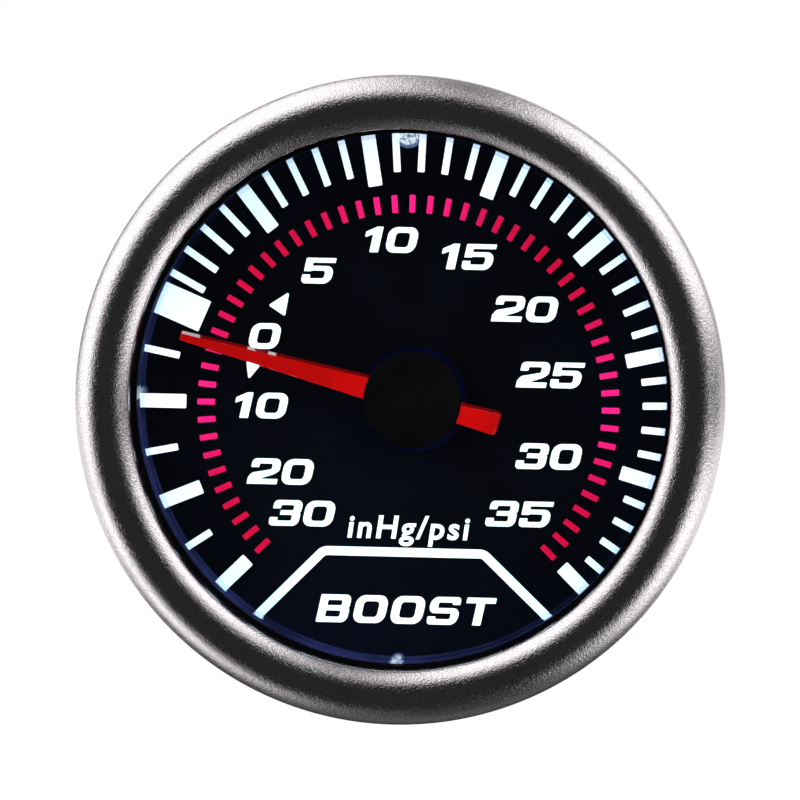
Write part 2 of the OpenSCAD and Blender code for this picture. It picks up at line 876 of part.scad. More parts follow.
// Cap soldered on the tube's free end, with the boss that the link turns on
module tube_tip() {
    out_w = tube_w + 2 * tip_wall + 2 * fit_gap;
    out_h = tube_h + 2 * tip_wall + 2 * fit_gap;
    boss_back = tube_front - tube_h / 2;
    color("goldenrod") faced() works() difference() {
        union() {
            rotate(tip_turn) translate([tube_r, 0, 0])
                slab(out_w, tip_l, tube_front - tube_h / 2 - out_h / 2,
                    tube_front - tube_h / 2 + out_h / 2);
            translate(tip_at) disc(tip_boss_r, boss_back, link_back - nest_gap);
        }
        tube_stretch(tube_w + 2 * fit_gap, tube_h + 2 * fit_gap, tube_end_turn - 1, root_turn_span);
        translate(tip_at) disc(link_pin_r + fit_gap, tube_front + tip_wall / 2, link_back + over);
    }
}

module tip_screw() {
    color("silver") faced() works() translate(tip_at)
        translate([0, 0, link_front + nest_gap])
            screw(pin_head_r, screw_head_t, link_pin_r, link_front - tube_front - tip_wall);
}

module link() {
    color("gold") faced() works() translate(tip_at) rotate(link_turn) translate([0, 0, link_back])
        difference() {
            linear_extrude(link_t) {
                circle(r = link_eye_r);
                translate([link_l, 0]) circle(r = link_eye_r);
                translate([0, -link_eye_r / 2]) square([link_l, link_eye_r]);
            }
            disc(link_pin_r + turn_gap, -over, link_t + over);
            translate([link_l, 0, 0]) disc(link_pin_r + fit_gap, -over, link_t + over);
        }
}

module link_pin() {
    color("silver") faced() works() translate(tail_pin_at) {
        disc(link_pin_r, link_back - pin_head_t / 2, sector_front + link_gap + pin_head_t / 2);
        disc(pin_head_r, link_back - pin_head_t, link_back);
        disc(pin_head_r, sector_front + link_gap, sector_front + link_gap + pin_head_t);
    }
}

module socket_block() {
    arm_front = tube_front + arm_margin;
    arm_back = tube_back - arm_margin;
    mid = tube_front - tube_h / 2;
    color("goldenrod") faced() works() difference() {
        union() {
            disc(column_r, socket_back, back_plate_back);
            disc(socket_flange_r, socket_back, socket_back + socket_flange_t);
            disc(stub_r, stub_back, socket_back + over);
            translate([-arm_half_w, -arm_end, arm_back])
                cube([2 * arm_half_w, arm_end, arm_front - arm_back]);
        }
        // Pocket for the tube's root
        tube_stretch(tube_w + 2 * fit_gap, tube_h + 2 * fit_gap, root_turn - root_turn_span,
            root_turn_span + 1);
        // Pressure passage, from the stub up the column and down the arm
        disc(passage_r, stub_back - over, mid);
        translate([0, 0, mid]) rotate([90, 0, 0]) cylinder(r = passage_r, h = tube_r);
        disc(spigot_r + fit_gap, stub_back - over, stub_back + spigot_l + fit_gap);
        for (side = [-1, 1]) translate([0, side * plate_screw_x, 0])
            disc(small_shank_r + fit_gap, back_plate_back - plate_screw_depth - fit_gap,
                back_plate_back + over);
        for (i = [0:2]) rotate(socket_screw_turn + i * 120) translate([socket_screw_at_r, 0, 0])
            disc(socket_screw_r + fit_gap, socket_back - over, socket_back + socket_screw_l + fit_gap);
    }
}

module socket_gasket() {
    color("saddlebrown") faced() works() difference() {
        ring(socket_flange_r, stub_r + fit_gap, case_back_in, socket_back);
        for (i = [0:2]) rotate(socket_screw_turn + i * 120) translate([socket_screw_at_r, 0, 0])
            disc(socket_screw_r + fit_gap, case_back_in - over, socket_back + over);
    }
}

module socket_screws() {
    color("silver") faced() works() for (i = [0:2]) rotate(socket_screw_turn + i * 120)
        translate([socket_screw_at_r, 0, -case_depth]) rotate([180, 0, 0])
            screw(socket_screw_head_r, socket_screw_head_h, socket_screw_r,
                case_wall + socket_gasket_t + socket_screw_l);
}

module nipple_seal() {
    color("saddlebrown") faced() works() ring(stub_r, spigot_r + fit_gap, nipple_top, stub_back);
}

module inlet_nipple() {
    color("goldenrod") faced() works() difference() {
        union() {
            disc(spigot_r, nipple_top - over, stub_back + spigot_l);
            translate([0, 0, nipple_start]) cylinder(r = nipple_hex_r, h = nipple_hex_h, $fn = 6);
            disc(nipple_r, nipple_land_end, nipple_start + over);
            // Barbs, each as wide as the plain part at its near end
            for (i = [1:barbs]) translate([0, 0, nipple_land_end - i * barb_l])
                cylinder(r1 = nipple_r * barb_neck_share, r2 = nipple_r, h = barb_l);
        }
        disc(passage_r, nipple_end - over, stub_back + spigot_l + over);
    }
}

module mounting_studs() {
    color("silver") faced() for (side = [-1, 1]) translate([side * stud_x, 0, 0]) {
        disc(stud_head_r, case_back_in, case_back_in + stud_head_t);
        disc(stud_r, -case_depth - stud_l, case_back_in + stud_head_t / 2);
    }
}

module wire_grommet() {
    out_r = grommet_r + grommet_flange_w;
    color([0.08, 0.08, 0.08]) faced() translate(grommet_at) difference() {
        union() {
            disc(out_r, case_back_in, case_back_in + grommet_flange_t);
            disc(grommet_r, -case_depth - grommet_flange_t / 2, case_back_in + grommet_flange_t / 2);
            disc(out_r, -case_depth - grommet_flange_t, -case_depth);
        }
        disc(grommet_bore_r, -case_depth - grommet_flange_t - over,
            case_back_in + grommet_flange_t + over);
    }
}

// Side view of the clamp bracket: x across, y along the case's axis
module strap_profile() {
    inner_bend = strap_bend - strap_t;
    polygon(concat(
        [[-strap_out_x, leg_end]],
        arc([-strap_out_x + strap_bend, strap_out + strap_bend], strap_bend, 180, 270),
        arc([strap_out_x - strap_bend, strap_out + strap_bend], strap_bend, 270, 360),
        [[strap_out_x, leg_end], [strap_in_x, leg_end]],
        arc([strap_out_x - strap_bend, strap_out + strap_bend], inner_bend, 360, 270),
        arc([-strap_out_x + strap_bend, strap_out + strap_bend], inner_bend, 270, 180),
        [[-strap_in_x, leg_end]]
    ));
}

module clamp_bracket() {
    color([0.12, 0.12, 0.13]) faced() difference() {
        translate([0, strap_w / 2, 0]) rotate([90, 0, 0]) linear_extrude(strap_w) strap_profile();
        for (side = [-1, 1]) translate([side * stud_x, 0, 0])
            disc(stud_r + 2 * fit_gap, strap_out - over, strap_in + over);
        works() disc(strap_hole_r, strap_out - over, strap_in + over);
    }
}

module lock_washers() {
    color("silver") faced() for (side = [-1, 1]) translate([side * stud_x, 0, 0]) difference() {
        ring(washer_r, stud_r + 2 * fit_gap, strap_out - washer_t, strap_out);
        translate([0, -washer_cut_w / 2, strap_out - washer_t - over])
            cube([washer_r + over, washer_cut_w, washer_t + 2 * over]);
    }
}

module thumb_nuts() {
    flute_step = 180 / nut_flutes;
    color("goldenrod") faced() for (side = [-1, 1]) translate([side * stud_x, 0, 0]) difference() {
        union() {
            translate([0, 0, nut_back]) linear_extrude(nut_h - nut_collar_h) polygon([
                for (i = [0:2 * nut_flutes - 1])
                    polar(nut_r * (i % 2 == 0 ? 1 : flute_share), i * flute_step)
            ]);
            disc(washer_r, nut_back + nut_h - nut_collar_h, nut_back + nut_h);
        }
        disc(stud_r + fit_gap, nut_back - over, nut_back + nut_h + over);
    }
}

case_cup();
bezel_ring();
lens();
lens_gasket();
shade_ring();
clear_ring();
dial_plate();
light_guide();
reflector();
led_board();
leds();
resistors();
solder_posts();
board_screws();
board_standoffs();
movement_front_plate();
movement_back_plate();
movement_pillars();
plate_screws();
movement_screws();
pointer_arbor();
hairspring_collet();
hairspring();
hairspring_stud();
pointer();
hub_cap();
sector_gear();
sector_arbor();
bourdon_tube();
tube_tip();
tip_screw();
link();
link_pin();
socket_block();
socket_gasket();
socket_screws();
nipple_seal();
inlet_nipple();
mounting_studs();
wire_grommet();
clamp_bracket();
lock_washers();
thumb_nuts();
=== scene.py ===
import json
import math

import bpy
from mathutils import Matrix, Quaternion, Vector


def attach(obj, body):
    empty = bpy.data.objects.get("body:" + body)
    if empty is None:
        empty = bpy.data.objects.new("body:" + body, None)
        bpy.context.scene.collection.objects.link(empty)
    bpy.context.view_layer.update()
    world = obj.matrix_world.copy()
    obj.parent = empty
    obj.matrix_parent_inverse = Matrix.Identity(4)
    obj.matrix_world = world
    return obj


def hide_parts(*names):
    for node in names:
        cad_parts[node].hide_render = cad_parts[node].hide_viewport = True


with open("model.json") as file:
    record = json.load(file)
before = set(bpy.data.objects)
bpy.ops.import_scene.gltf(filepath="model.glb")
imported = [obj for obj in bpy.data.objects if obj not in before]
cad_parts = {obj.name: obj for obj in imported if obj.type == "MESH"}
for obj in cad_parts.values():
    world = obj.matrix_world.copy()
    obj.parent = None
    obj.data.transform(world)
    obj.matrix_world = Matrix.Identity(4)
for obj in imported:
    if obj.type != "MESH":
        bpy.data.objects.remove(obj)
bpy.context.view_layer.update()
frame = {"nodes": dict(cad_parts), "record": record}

nodes = frame["nodes"]
scene = bpy.context.scene
MM = 0.001

# Camera
# The photograph looks at the dial almost square on, with a long lens, from a little right and above.
AZIMUTH, ELEVATION, ROLL = 2.6, 2.1, 1.2                  # degrees
DISTANCE, VIEW_WIDTH = 800.0, 73.85                       # mm; the width is what the view spans at the bezel
AIM_H = 5.5                                               # mm in front of the panel
SENSOR_WIDTH = 36.0
CLIP_START, CLIP_END = 0.01, 50.0                         # m

azimuth, elevation = math.radians(AZIMUTH), math.radians(ELEVATION)
back = Vector((math.sin(azimuth) * math.cos(elevation), -math.cos(azimuth) * math.cos(elevation),
               math.sin(elevation)))
camera_data = bpy.data.cameras.new("camera")
camera = bpy.data.objects.new("camera", camera_data)
scene.collection.objects.link(camera)
camera_data.sensor_width = SENSOR_WIDTH
camera_data.lens = SENSOR_WIDTH * DISTANCE / VIEW_WIDTH
camera_data.clip_start, camera_data.clip_end = CLIP_START, CLIP_END
camera.location = Vector((0, -AIM_H * MM, 0)) + back * DISTANCE * MM
camera.rotation_mode = "QUATERNION"
camera.rotation_quaternion = (-back).to_track_quat("-Z", "Y") @ Quaternion((0, 0, 1), math.radians(ROLL))
scene.camera = camera

# Places, in mm
# Heights are towards the viewer, so a height h is at world y = -h.
HUB = (0.9, -0.2)                                         # the pointer's axis
DIAL_H = -2.2
INK_THICK = 0.012
PRINT_H = DIAL_H + INK_THICK
PRINT_X, PRINT_Z = 0.43, -0.84                            # the print sits a little off the case's axis
CUT_R = 24.9                                              # the print runs on under the shade ring


# Node helpers
class Tree:
    """A material's or world's nodes, with short ways to add them."""

    def __init__(self, owner):
        owner.use_nodes = True
        self.owner = owner
        self.tree = owner.node_tree
        self.tree.nodes.clear()

    def add(self, kind, **settings):
        node = self.tree.nodes.new(kind)
        for name, value in settings.items():
            setattr(node, name, value)
        return node

    def link(self, output, socket):
        self.tree.links.new(output, socket)

    def put(self, socket, value):
        """Gives a socket another node's output, or a plain value."""
        if hasattr(value, "is_output"):
            self.link(value, socket)
        else:
            socket.default_value = value

    def maths(self, operation, *values):
        node = self.add("ShaderNodeMath", operation=operation)
        for socket, value in zip(node.inputs, values):
            self.put(socket, value)
        return node.outputs[0]

    def chain(self, operation, values):
        """Joins any number of values by one operation."""
        result = values[0]
        for value in values[1:]:
            result = self.maths(operation, result, value)
        return result

    def times(self, *values):
        return self.chain("MULTIPLY", values)

    def plus(self, *values):
        return self.chain("ADD", values)

    def most(self, *values):
        return self.chain("MAXIMUM", values)

    def minus(self, first, second):
        return self.maths("SUBTRACT", first, second)

    def length(self, *parts):
        """The length of a vector with these parts."""
        return self.maths("SQRT", self.plus(*[self.times(part, part) for part in parts]))

    def between(self, share, first, second):
        """A value that goes from the first to the second as the share goes from 0 to 1."""
        return self.plus(self.times(self.minus(1.0, share), first), self.times(share, second))

    def smooth(self, value, low, high, out_low=0.0, out_high=1.0):
        """A soft step from out_low to out_high while the value goes from low to high."""
        node = self.add("ShaderNodeMapRange", interpolation_type="SMOOTHSTEP")
        for socket, given in zip(node.inputs, (value, low, high, out_low, out_high)):
            self.put(socket, given)
        return node.outputs[0]

    def mix(self, share, first, second, way="MIX"):
        """A colour between two others."""
        node = self.add("ShaderNodeMix", data_type="RGBA", blend_type=way)
        self.put(node.inputs[0], share)
        self.put(node.inputs[6], first)
        self.put(node.inputs[7], second)
        return node.outputs[2]

    def split(self, vector):
        """The x, y and z of a vector."""
        node = self.add("ShaderNodeSeparateXYZ")
        self.link(vector, node.inputs[0])
        return node.outputs

    def where(self, scale=(1, 1, 1)):
        """Object coordinates in mm, stretched by scale."""
        coordinates = self.add("ShaderNodeTexCoord")
        mapping = self.add("ShaderNodeMapping")
        mapping.inputs["Scale"].default_value = [s / MM for s in scale]
        self.link(coordinates.outputs["Object"], mapping.inputs["Vector"])
        return mapping.outputs[0]

    def noise(self, scale, detail=2.0, rough=0.5, at=None):
        """Cloudy values from 0 to 1, with scale as their number per mm."""
        node = self.add("ShaderNodeTexNoise")
        node.inputs["Scale"].default_value = scale
        node.inputs["Detail"].default_value = detail
        node.inputs["Roughness"].default_value = rough
        self.link(at or self.where(), node.inputs["Vector"])
        return node.outputs["Fac"]

    def bump(self, height, strength, distance, normal=None):
        """Small waves of the surface, on top of those in normal. The distance is in mm."""
        node = self.add("ShaderNodeBump")
        node.inputs["Strength"].default_value = strength
        node.inputs["Distance"].default_value = distance * MM
        self.link(height, node.inputs["Height"])
        if normal:
            self.link(normal, node.inputs["Normal"])
        return node.outputs[0]

    def sheen(self, ior, share=1.0):
        """How much a thin clear surface mirrors, on the side where a ray comes in."""
        fresnel = self.add("ShaderNodeFresnel")
        fresnel.inputs["IOR"].default_value = ior
        leaving = self.add("ShaderNodeNewGeometry").outputs["Backfacing"]
        return self.times(fresnel.outputs[0], share, self.minus(1.0, leaving))

    def shader(self, kind, **values):
        """A shader with values for its sockets, whose names have _ for each space."""
        node = self.add("ShaderNode" + kind)
        for name, value in values.items():
            self.put(node.inputs[name.replace("_", " ")], value)
        return node.outputs[0]

    def blend(self, share, first, second):
        """A shader between two others."""
        node = self.add("ShaderNodeMixShader")
        self.put(node.inputs[0], share)
        self.link(first, node.inputs[1])
        self.link(second, node.inputs[2])
        return node.outputs[0]

    def out(self, shader, kind="Material"):
        """Makes the shader the one that shows, and gives back what the nodes belong to."""
        output = self.add("ShaderNodeOutput" + kind)
        self.link(shader, output.inputs["Surface"])
        return self.owner


def material_tree(name):
    return Tree(bpy.data.materials.new(name))


def rgb(*colour):
    return (*colour, 1.0)


# Materials
def surface(name, dark, light, rough=(0.4, 0.5), metal=0.0, patch=0.25, grain=6.0, grain_bump=0.2, depth=0.02,
            lines=None, specular=0.5, coat=0.0):
    """A plain material with slow colour patches, fine grain and, on turned pieces, fine lines.

    lines is a stretch of the coordinates: the lines run across the axis that has the large number."""
    t = material_tree(name)
    slow = t.noise(patch, 4.0, 0.55)
    fine = t.noise(grain, 3.0, 0.6)
    spread = t.smooth(t.plus(t.times(slow, 0.7), t.times(fine, 0.3)), 0.35, 0.65)
    roughness = t.smooth(t.noise(patch * 3.1, 5.0, 0.6), 0.3, 0.7, *rough)
    normal = t.bump(fine, grain_bump, depth)
    if lines:
        normal = t.bump(t.noise(1.0, 3.0, 0.6, t.where(lines)), grain_bump * 1.6, depth, normal)
    return t.out(t.shader("BsdfPrincipled", Base_Color=t.mix(spread, rgb(*dark), rgb(*light)),
                          Roughness=roughness, Metallic=metal, Normal=normal, Specular_IOR_Level=specular,
                          Coat_Weight=coat, Coat_Roughness=0.12))


def turned_metal(name, dark, light, rough):
    """Metal with the fine lines that turning leaves round the case's axis."""
    return surface(name, dark, light, rough, 1.0, patch=0.3, grain=9.0, grain_bump=0.12, depth=0.012,
                   lines=(0.25, 14.0, 0.25))


def bezel_material():
    """Bead-blasted dark nickel: a satin metal whose fine pits sparkle."""
    t = material_tree("satin_nickel")
    pits = t.noise(3.4, 3.0, 0.7)
    fine = t.noise(7.5, 2.0, 0.6)
    slow = t.noise(0.16, 3.0, 0.5)
    plain = t.mix(t.smooth(slow, 0.35, 0.65), rgb(0.78, 0.74, 0.76), rgb(0.88, 0.85, 0.865))
    colour = t.mix(t.smooth(fine, 0.34, 0.62), rgb(0.62, 0.575, 0.59), plain)
    normal = t.bump(fine, 0.7, 0.034, t.bump(pits, 0.7, 0.048))
    return t.out(t.shader("BsdfPrincipled", Base_Color=colour, Metallic=1.0,
                          Roughness=t.smooth(fine, 0.3, 0.7, 0.11, 0.19), Normal=normal))


def lens_material():
    """Lightly smoked pane: it lets the dial's light through and mirrors a little."""
    t = material_tree("smoked_pane")
    smear = t.smooth(t.noise(0.11, 3.0, 0.5), 0.3, 0.7)
    clear = t.shader("BsdfTransparent", Color=t.mix(smear, rgb(0.93, 0.94, 0.95), rgb(0.955, 0.96, 0.965)))
    roughness = t.smooth(t.noise(0.4, 4.0, 0.6), 0.3, 0.7, 0.015, 0.04)
    gloss = t.shader("BsdfGlossy", Color=rgb(1, 1, 1), Roughness=roughness)
    return t.out(t.blend(t.sheen(1.42, 0.8), clear, gloss))


def clear_material(name, tint, glow, strength, edge=None, upper_right=None, bosses=()):
    """Clear moulded plastic with a painted glow that stands in for the lamps' light it carries.

    edge is how many times stronger the painted glow is where it is seen edge on, and upper_right the share of
    its glow that is left there. bosses has each boss's x, z and radius in mm, and the brightness of its
    painted glint."""
    t = material_tree(name)
    clear = t.shader("BsdfTransparent", Color=rgb(*tint))
    gloss = t.shader("BsdfGlossy", Color=rgb(0.75, 0.82, 1.0), Roughness=0.08)
    x, _, z = t.split(t.where())
    light = t.smooth(t.noise(0.22, 3.0, 0.6), 0.32, 0.68, 0.45, 1.35)
    # Painted light: the glow is stronger where the plastic is seen edge on.
    if edge:
        weight = t.add("ShaderNodeLayerWeight")
        weight.inputs["Blend"].default_value = 0.35
        light = t.times(light, t.smooth(weight.outputs["Facing"], 0.3, 0.95, 1.0, edge))
    if upper_right:
        # Painted light: the ring's glow is strongest at the lower left, where the lamps' light comes out of
        # it.
        lower_left = t.plus(t.times(x, -0.6), t.times(z, -0.8))
        light = t.times(light, t.smooth(lower_left, -6.0, 22.0, upper_right, 1.0))
    light = t.times(light, strength)
    colour = rgb(*glow)
    for boss_x, boss_z, radius, level in bosses:
        # A boss has a painted glint: a blue rim of painted light round a painted white highlight in its
        # middle, as where it gathers the scale's light like a lens.
        off = t.length(t.minus(x, boss_x), t.minus(z, boss_z))
        streak = t.smooth(t.noise(1.1, 2.0, 0.5, t.where((1.6, 1.0, 0.7))), 0.36, 0.50, 0.25, 1.0)
        middle = t.times(t.smooth(off, 0.74 * radius, 0.84 * radius, 1.0, 0.0), streak)
        rim = t.smooth(off, 0.98 * radius, 1.04 * radius, 1.0, 0.0)
        colour = t.mix(middle, t.mix(rim, colour, rgb(0.17, 0.28, 0.62)), rgb(0.78, 0.93, 1.0))
        light = t.most(light, t.times(rim, level / 2), t.times(middle, level))
    both = t.add("ShaderNodeAddShader")
    t.link(t.blend(t.sheen(1.49), clear, gloss), both.inputs[0])
    t.link(t.shader("Emission", Color=colour, Strength=light), both.inputs[1])
    return t.out(both.outputs[0])


def dial_material():
    """Matt black screen print on a translucent sheet, with a painted glow of blue light coming through,
    stronger towards the bottom and at pinholes.
    """
    t = material_tree("black_print")
    slow = t.noise(0.075, 3.0, 0.6)
    speck = t.noise(3.2, 2.0, 0.7)
    z = t.split(t.where())[2]
    colour = t.mix(t.smooth(slow, 0.35, 0.65), rgb(0.0010, 0.0012, 0.0014), rgb(0.0016, 0.0020, 0.0026))
    glow = t.mix(t.smooth(slow, 0.35, 0.7), rgb(0.0002, 0.0006, 0.0022), rgb(0.0004, 0.0012, 0.0046))
    # Painted light: the glow is stronger towards the bottom and at pinholes in the print.
    lower = t.smooth(z, -8.0, -25.0, 0.7, 1.7)
    pinhole_glow = t.smooth(speck, 0.70, 0.78, 1.0, 3.5)
    return t.out(t.shader("BsdfPrincipled", Base_Color=colour, Roughness=t.smooth(speck, 0.3, 0.7, 0.55, 0.7),
                          Specular_IOR_Level=0.05, Emission_Color=glow,
                          Emission_Strength=t.times(lower, pinhole_glow), Normal=t.bump(speck, 0.15, 0.01)))


def lit_print(name, strength):
    """Translucent ink with a painted glow: its colour and its glow's colour come from the vertices, which
    carry painted light that makes them paler over the lamps.
    """
    t = material_tree(name)
    ink = t.add("ShaderNodeVertexColor", layer_name="lit")
    mottle = t.smooth(t.noise(1.7, 3.0, 0.6), 0.3, 0.7, 0.95, 1.03)
    cover = t.mix(mottle, rgb(0.93, 0.93, 0.93), rgb(1, 1, 1))
    colour = t.mix(1.0, ink.outputs["Color"], cover, "MULTIPLY")
    return t.out(t.shader("BsdfPrincipled", Base_Color=colour, Roughness=0.6, Specular_IOR_Level=0.2,
                          Emission_Color=colour, Emission_Strength=strength))


def pointer_material():
    """Translucent red plastic with a painted glow, as if lit from its root: the front face's glow is brighter
    near the root and fades along the pointer, and the sides have painted shade, darkest on those facing up.
    """
    t = material_tree("lit_red")
    _, normal_y, normal_z = t.split(t.add("ShaderNodeNewGeometry").outputs["Normal"])
    front = t.smooth(t.times(normal_y, -1.0), 0.93, 0.985)
    upper = t.smooth(normal_z, 0.2, 0.9)
    x, _, z = t.split(t.where())
    off_hub = t.length(t.minus(x, HUB[0]), t.minus(z, HUB[1]))
    # Painted light: the glow fades along the pointer, away from its root.
    along = t.smooth(off_hub, 5.0, 23.0, 1.0, 0.92)
    mottle = t.smooth(t.noise(0.9, 3.0, 0.55), 0.3, 0.7, 0.93, 1.05)
    # Painted light on the front face, brighter near the root, and painted shade on the sides, darkest on
    # those facing up.
    top = t.mix(t.smooth(off_hub, 5.5, 8.5), rgb(0.56, 0.0008, 0.0008), rgb(0.44, 0.0005, 0.0005))
    side = t.mix(upper, rgb(0.50, 0.008, 0.010), rgb(0.13, 0.0004, 0.0006))
    return t.out(t.shader("BsdfPrincipled", Base_Color=rgb(0.16, 0.0008, 0.0008),
                          Roughness=t.smooth(t.noise(2.4), 0.3, 0.7, 0.10, 0.2),
                          Emission_Color=t.mix(front, side, top), Emission_Strength=t.times(along, mottle),
                          Coat_Weight=1.0, Coat_Roughness=0.03))


def board_material():
    """Green solder mask over copper tracks."""
    t = material_tree("solder_mask")
    cells = t.add("ShaderNodeTexVoronoi", feature="DISTANCE_TO_EDGE")
    cells.inputs["Scale"].default_value = 0.35
    t.link(t.where(), cells.inputs["Vector"])
    track = t.smooth(cells.outputs["Distance"], 0.05, 0.09, 1.0, 0.0)
    mask = t.mix(t.smooth(t.noise(0.5, 3.0), 0.3, 0.7), rgb(0.01, 0.12, 0.04), rgb(0.015, 0.16, 0.055))
    return t.out(t.shader("BsdfPrincipled", Base_Color=t.mix(track, mask, rgb(0.05, 0.30, 0.10)),
                          Roughness=0.28, Normal=t.bump(track, 0.4, 0.03)))


def fibre_material():
    """Red vulcanised fibre, with strands in the sheet."""
    t = material_tree("red_fibre")
    strands = t.noise(1.0, 5.0, 0.7, t.where((0.7, 5.0, 2.0)))
    colour = t.mix(t.smooth(strands, 0.3, 0.7), rgb(0.22, 0.07, 0.04), rgb(0.40, 0.16, 0.09))
    return t.out(t.shader("BsdfPrincipled", Base_Color=colour, Roughness=0.85,
                          Normal=t.bump(strands, 0.5, 0.05)))


# The material of each of the record's slots
materials = {
    "black_steel": surface("black_enamel", (0.008, 0.008, 0.009), (0.018, 0.018, 0.020), (0.28, 0.40),
                           patch=0.2, grain=1.6, grain_bump=0.16, depth=0.06, coat=0.12, specular=0.4),
    "satin_bezel": bezel_material(),
    "smoke_lens": lens_material(),
    "rubber": surface("black_rubber", (0.010, 0.010, 0.011), (0.022, 0.022, 0.023), (0.65, 0.85),
                      grain=4.0, grain_bump=0.35, depth=0.03, specular=0.35),
    "black_plastic": surface("black_matt_plastic", (0.0012, 0.0012, 0.0018), (0.0024, 0.0024, 0.0034),
                             (0.55, 0.75), grain=5.0, grain_bump=0.25, depth=0.02, specular=0.06),
    "dial_print": dial_material(),
    "white_plastic": surface("white_reflector", (0.74, 0.75, 0.76), (0.84, 0.85, 0.85), (0.45, 0.6),
                             grain=5.0, grain_bump=0.1),
    "circuit_board": board_material(),
    "lamp": surface("lamp_body", (0.80, 0.77, 0.55), (0.93, 0.90, 0.68), (0.3, 0.45),
                    grain=4.0, grain_bump=0.1),
    "resistor": surface("resistor_body", (0.02, 0.02, 0.022), (0.05, 0.05, 0.055), (0.4, 0.6), grain=5.0),
    "brass": turned_metal("turned_brass", (0.62, 0.41, 0.15), (0.80, 0.58, 0.26), (0.24, 0.40)),
    "bronze": turned_metal("drawn_bronze", (0.50, 0.28, 0.12), (0.68, 0.42, 0.20), (0.26, 0.40)),
    "steel": turned_metal("zinc_plated_steel", (0.52, 0.53, 0.54), (0.70, 0.71, 0.73), (0.25, 0.42)),
    "fibre": fibre_material(),
    "red_pointer": pointer_material(),
}

# The two clear pieces differ: the ring's painted glow is strongest at its edges, and the guide behind the
# dial has a fainter painted glow that only shows round the hub.
BOSS_RING_R = 24.55
# Each boss on the clear ring has its x, z and radius in mm and the brightness of its painted glint.
BOSSES = ((0.0, BOSS_RING_R, 1.34, 0.82), (-BOSS_RING_R, 0.0, 0.7, 0.30), (0.0, -BOSS_RING_R, 0.7, 0.45))
own_materials = {
    "clear_ring": clear_material("clear_ring_acrylic", (0.80, 0.84, 0.95), (0.10, 0.13, 0.50), 0.055,
                                 edge=2.4, upper_right=0.06, bosses=BOSSES),
    "light_guide": clear_material("guide_acrylic", (0.35, 0.42, 0.75), (0.02, 0.05, 0.45), 0.009),
}

slot_of = {subpart["node"]: subpart["material_slot"] for subpart in frame["record"]["subparts"]}
for name, node in nodes.items():
    node.data.materials.clear()
    node.data.materials.append(own_materials.get(name) or materials[slot_of[name]])


# Mesh helpers
def keep(name, mesh, body, slot, material=None, smooth=True):
    """Adds a mesh as a piece of the part."""
    ob = bpy.data.objects.new(name, mesh)
    scene.collection.objects.link(ob)
    mesh.materials.append(material or materials[slot])
    if smooth:
        for face in mesh.polygons:
            face.use_smooth = True
    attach(ob, body)
    return ob


def mesh_of(name, points, faces):
    mesh = bpy.data.meshes.new(name)
    mesh.from_pydata(points, [], faces)
    mesh.validate()
    mesh.update()
    return mesh


def bevel(ob, width, angle):
    """Breaks the edges that are sharper than an angle in degrees."""
    modifier = ob.modifiers.new("edges", "BEVEL")
    modifier.width, modifier.segments = width * MM, 2
    modifier.limit_method, modifier.angle_limit = "ANGLE", math.radians(angle)


def rounded(points, steps=5):
    """A closed outline of (x, y, corner radius), with its corners rounded."""
    outline = []
    for i, (x, y, radius) in enumerate(points):
        corner = Vector((x, y))
        before = Vector(points[i - 1][:2]) - corner
        after = Vector(points[(i + 1) % len(points)][:2]) - corner
        if min(radius, before.length, after.length) < 1e-9:
            outline.append((x, y))
            continue
        half = before.angle(after) / 2
        cut = min(radius / math.tan(half), 0.49 * before.length, 0.49 * after.length)
        before.normalize()
        after.normalize()
        centre = corner + (before + after).normalized() * (cut * math.tan(half) / math.sin(half))
        start, end = corner + before * cut - centre, corner + after * cut - centre
        turn = -start.angle_signed(end)
        for k in range(steps + 1):
            a = turn * k / steps
            outline.append((centre.x + start.x * math.cos(a) - start.y * math.sin(a),
                            centre.y + start.x * math.sin(a) + start.y * math.cos(a)))
    return outline


def box_corners(x0, y0, x1, y1, radius):
    return [(x0, y0, radius), (x1, y0, radius), (x1, y1, radius), (x0, y1, radius)]


# Ink on the dial
def inked(name, curve, material, tint, x=0.0, z=0.0):
    """Turns a flat curve into ink on the dial, moved by x and z in mm. tint(x, z) gives a point's ink colour
    with its painted light.
    """
    curve.extrude = INK_THICK * MM / 2
    drawn = bpy.data.objects.new(name + ".curve", curve)
    scene.collection.objects.link(drawn)
    bpy.context.view_layer.update()
    mesh = bpy.data.meshes.new_from_object(drawn.evaluated_get(bpy.context.evaluated_depsgraph_get()))
    bpy.data.objects.remove(drawn)
    mesh.materials.clear()
    mesh.name = name
    colours = mesh.color_attributes.new("lit", "FLOAT_COLOR", "POINT")
    for v in mesh.vertices:
        v.co = (v.co.x + x * MM, -PRINT_H * MM - v.co.z, v.co.y + z * MM)
        colours.data[v.index].color = rgb(*tint(v.co.x / MM, v.co.z / MM))
    keep(name, mesh, "case", "dial_print", material, smooth=False)


def printed(name, loops, material, tint):
    """Prints closed loops of (x, z) in mm, filled, with holes where a loop lies in another."""
    curve = bpy.data.curves.new(name, "CURVE")
    curve.dimensions, curve.fill_mode = "2D", "BOTH"
    for loop in loops:
        spline = curve.splines.new("POLY")
        spline.points.add(len(loop) - 1)
        for point, (x, z) in zip(spline.points, loop):
            point.co = (x * MM, z * MM, 0, 1)
        spline.use_cyclic_u = True
    inked(name, curve, material, tint)


LAMP_R, HUB_LAMP = 20.5, 4.67
RIM_LAMPS = [(LAMP_R, 0), (0, LAMP_R), (-LAMP_R, 0), (0, -LAMP_R)]
HUB_LAMPS = [(HUB_LAMP, HUB_LAMP), (-HUB_LAMP, -HUB_LAMP)]
DIM_EDGE_R = 23.7                                         # painted shade: the marks are dimmer outside it


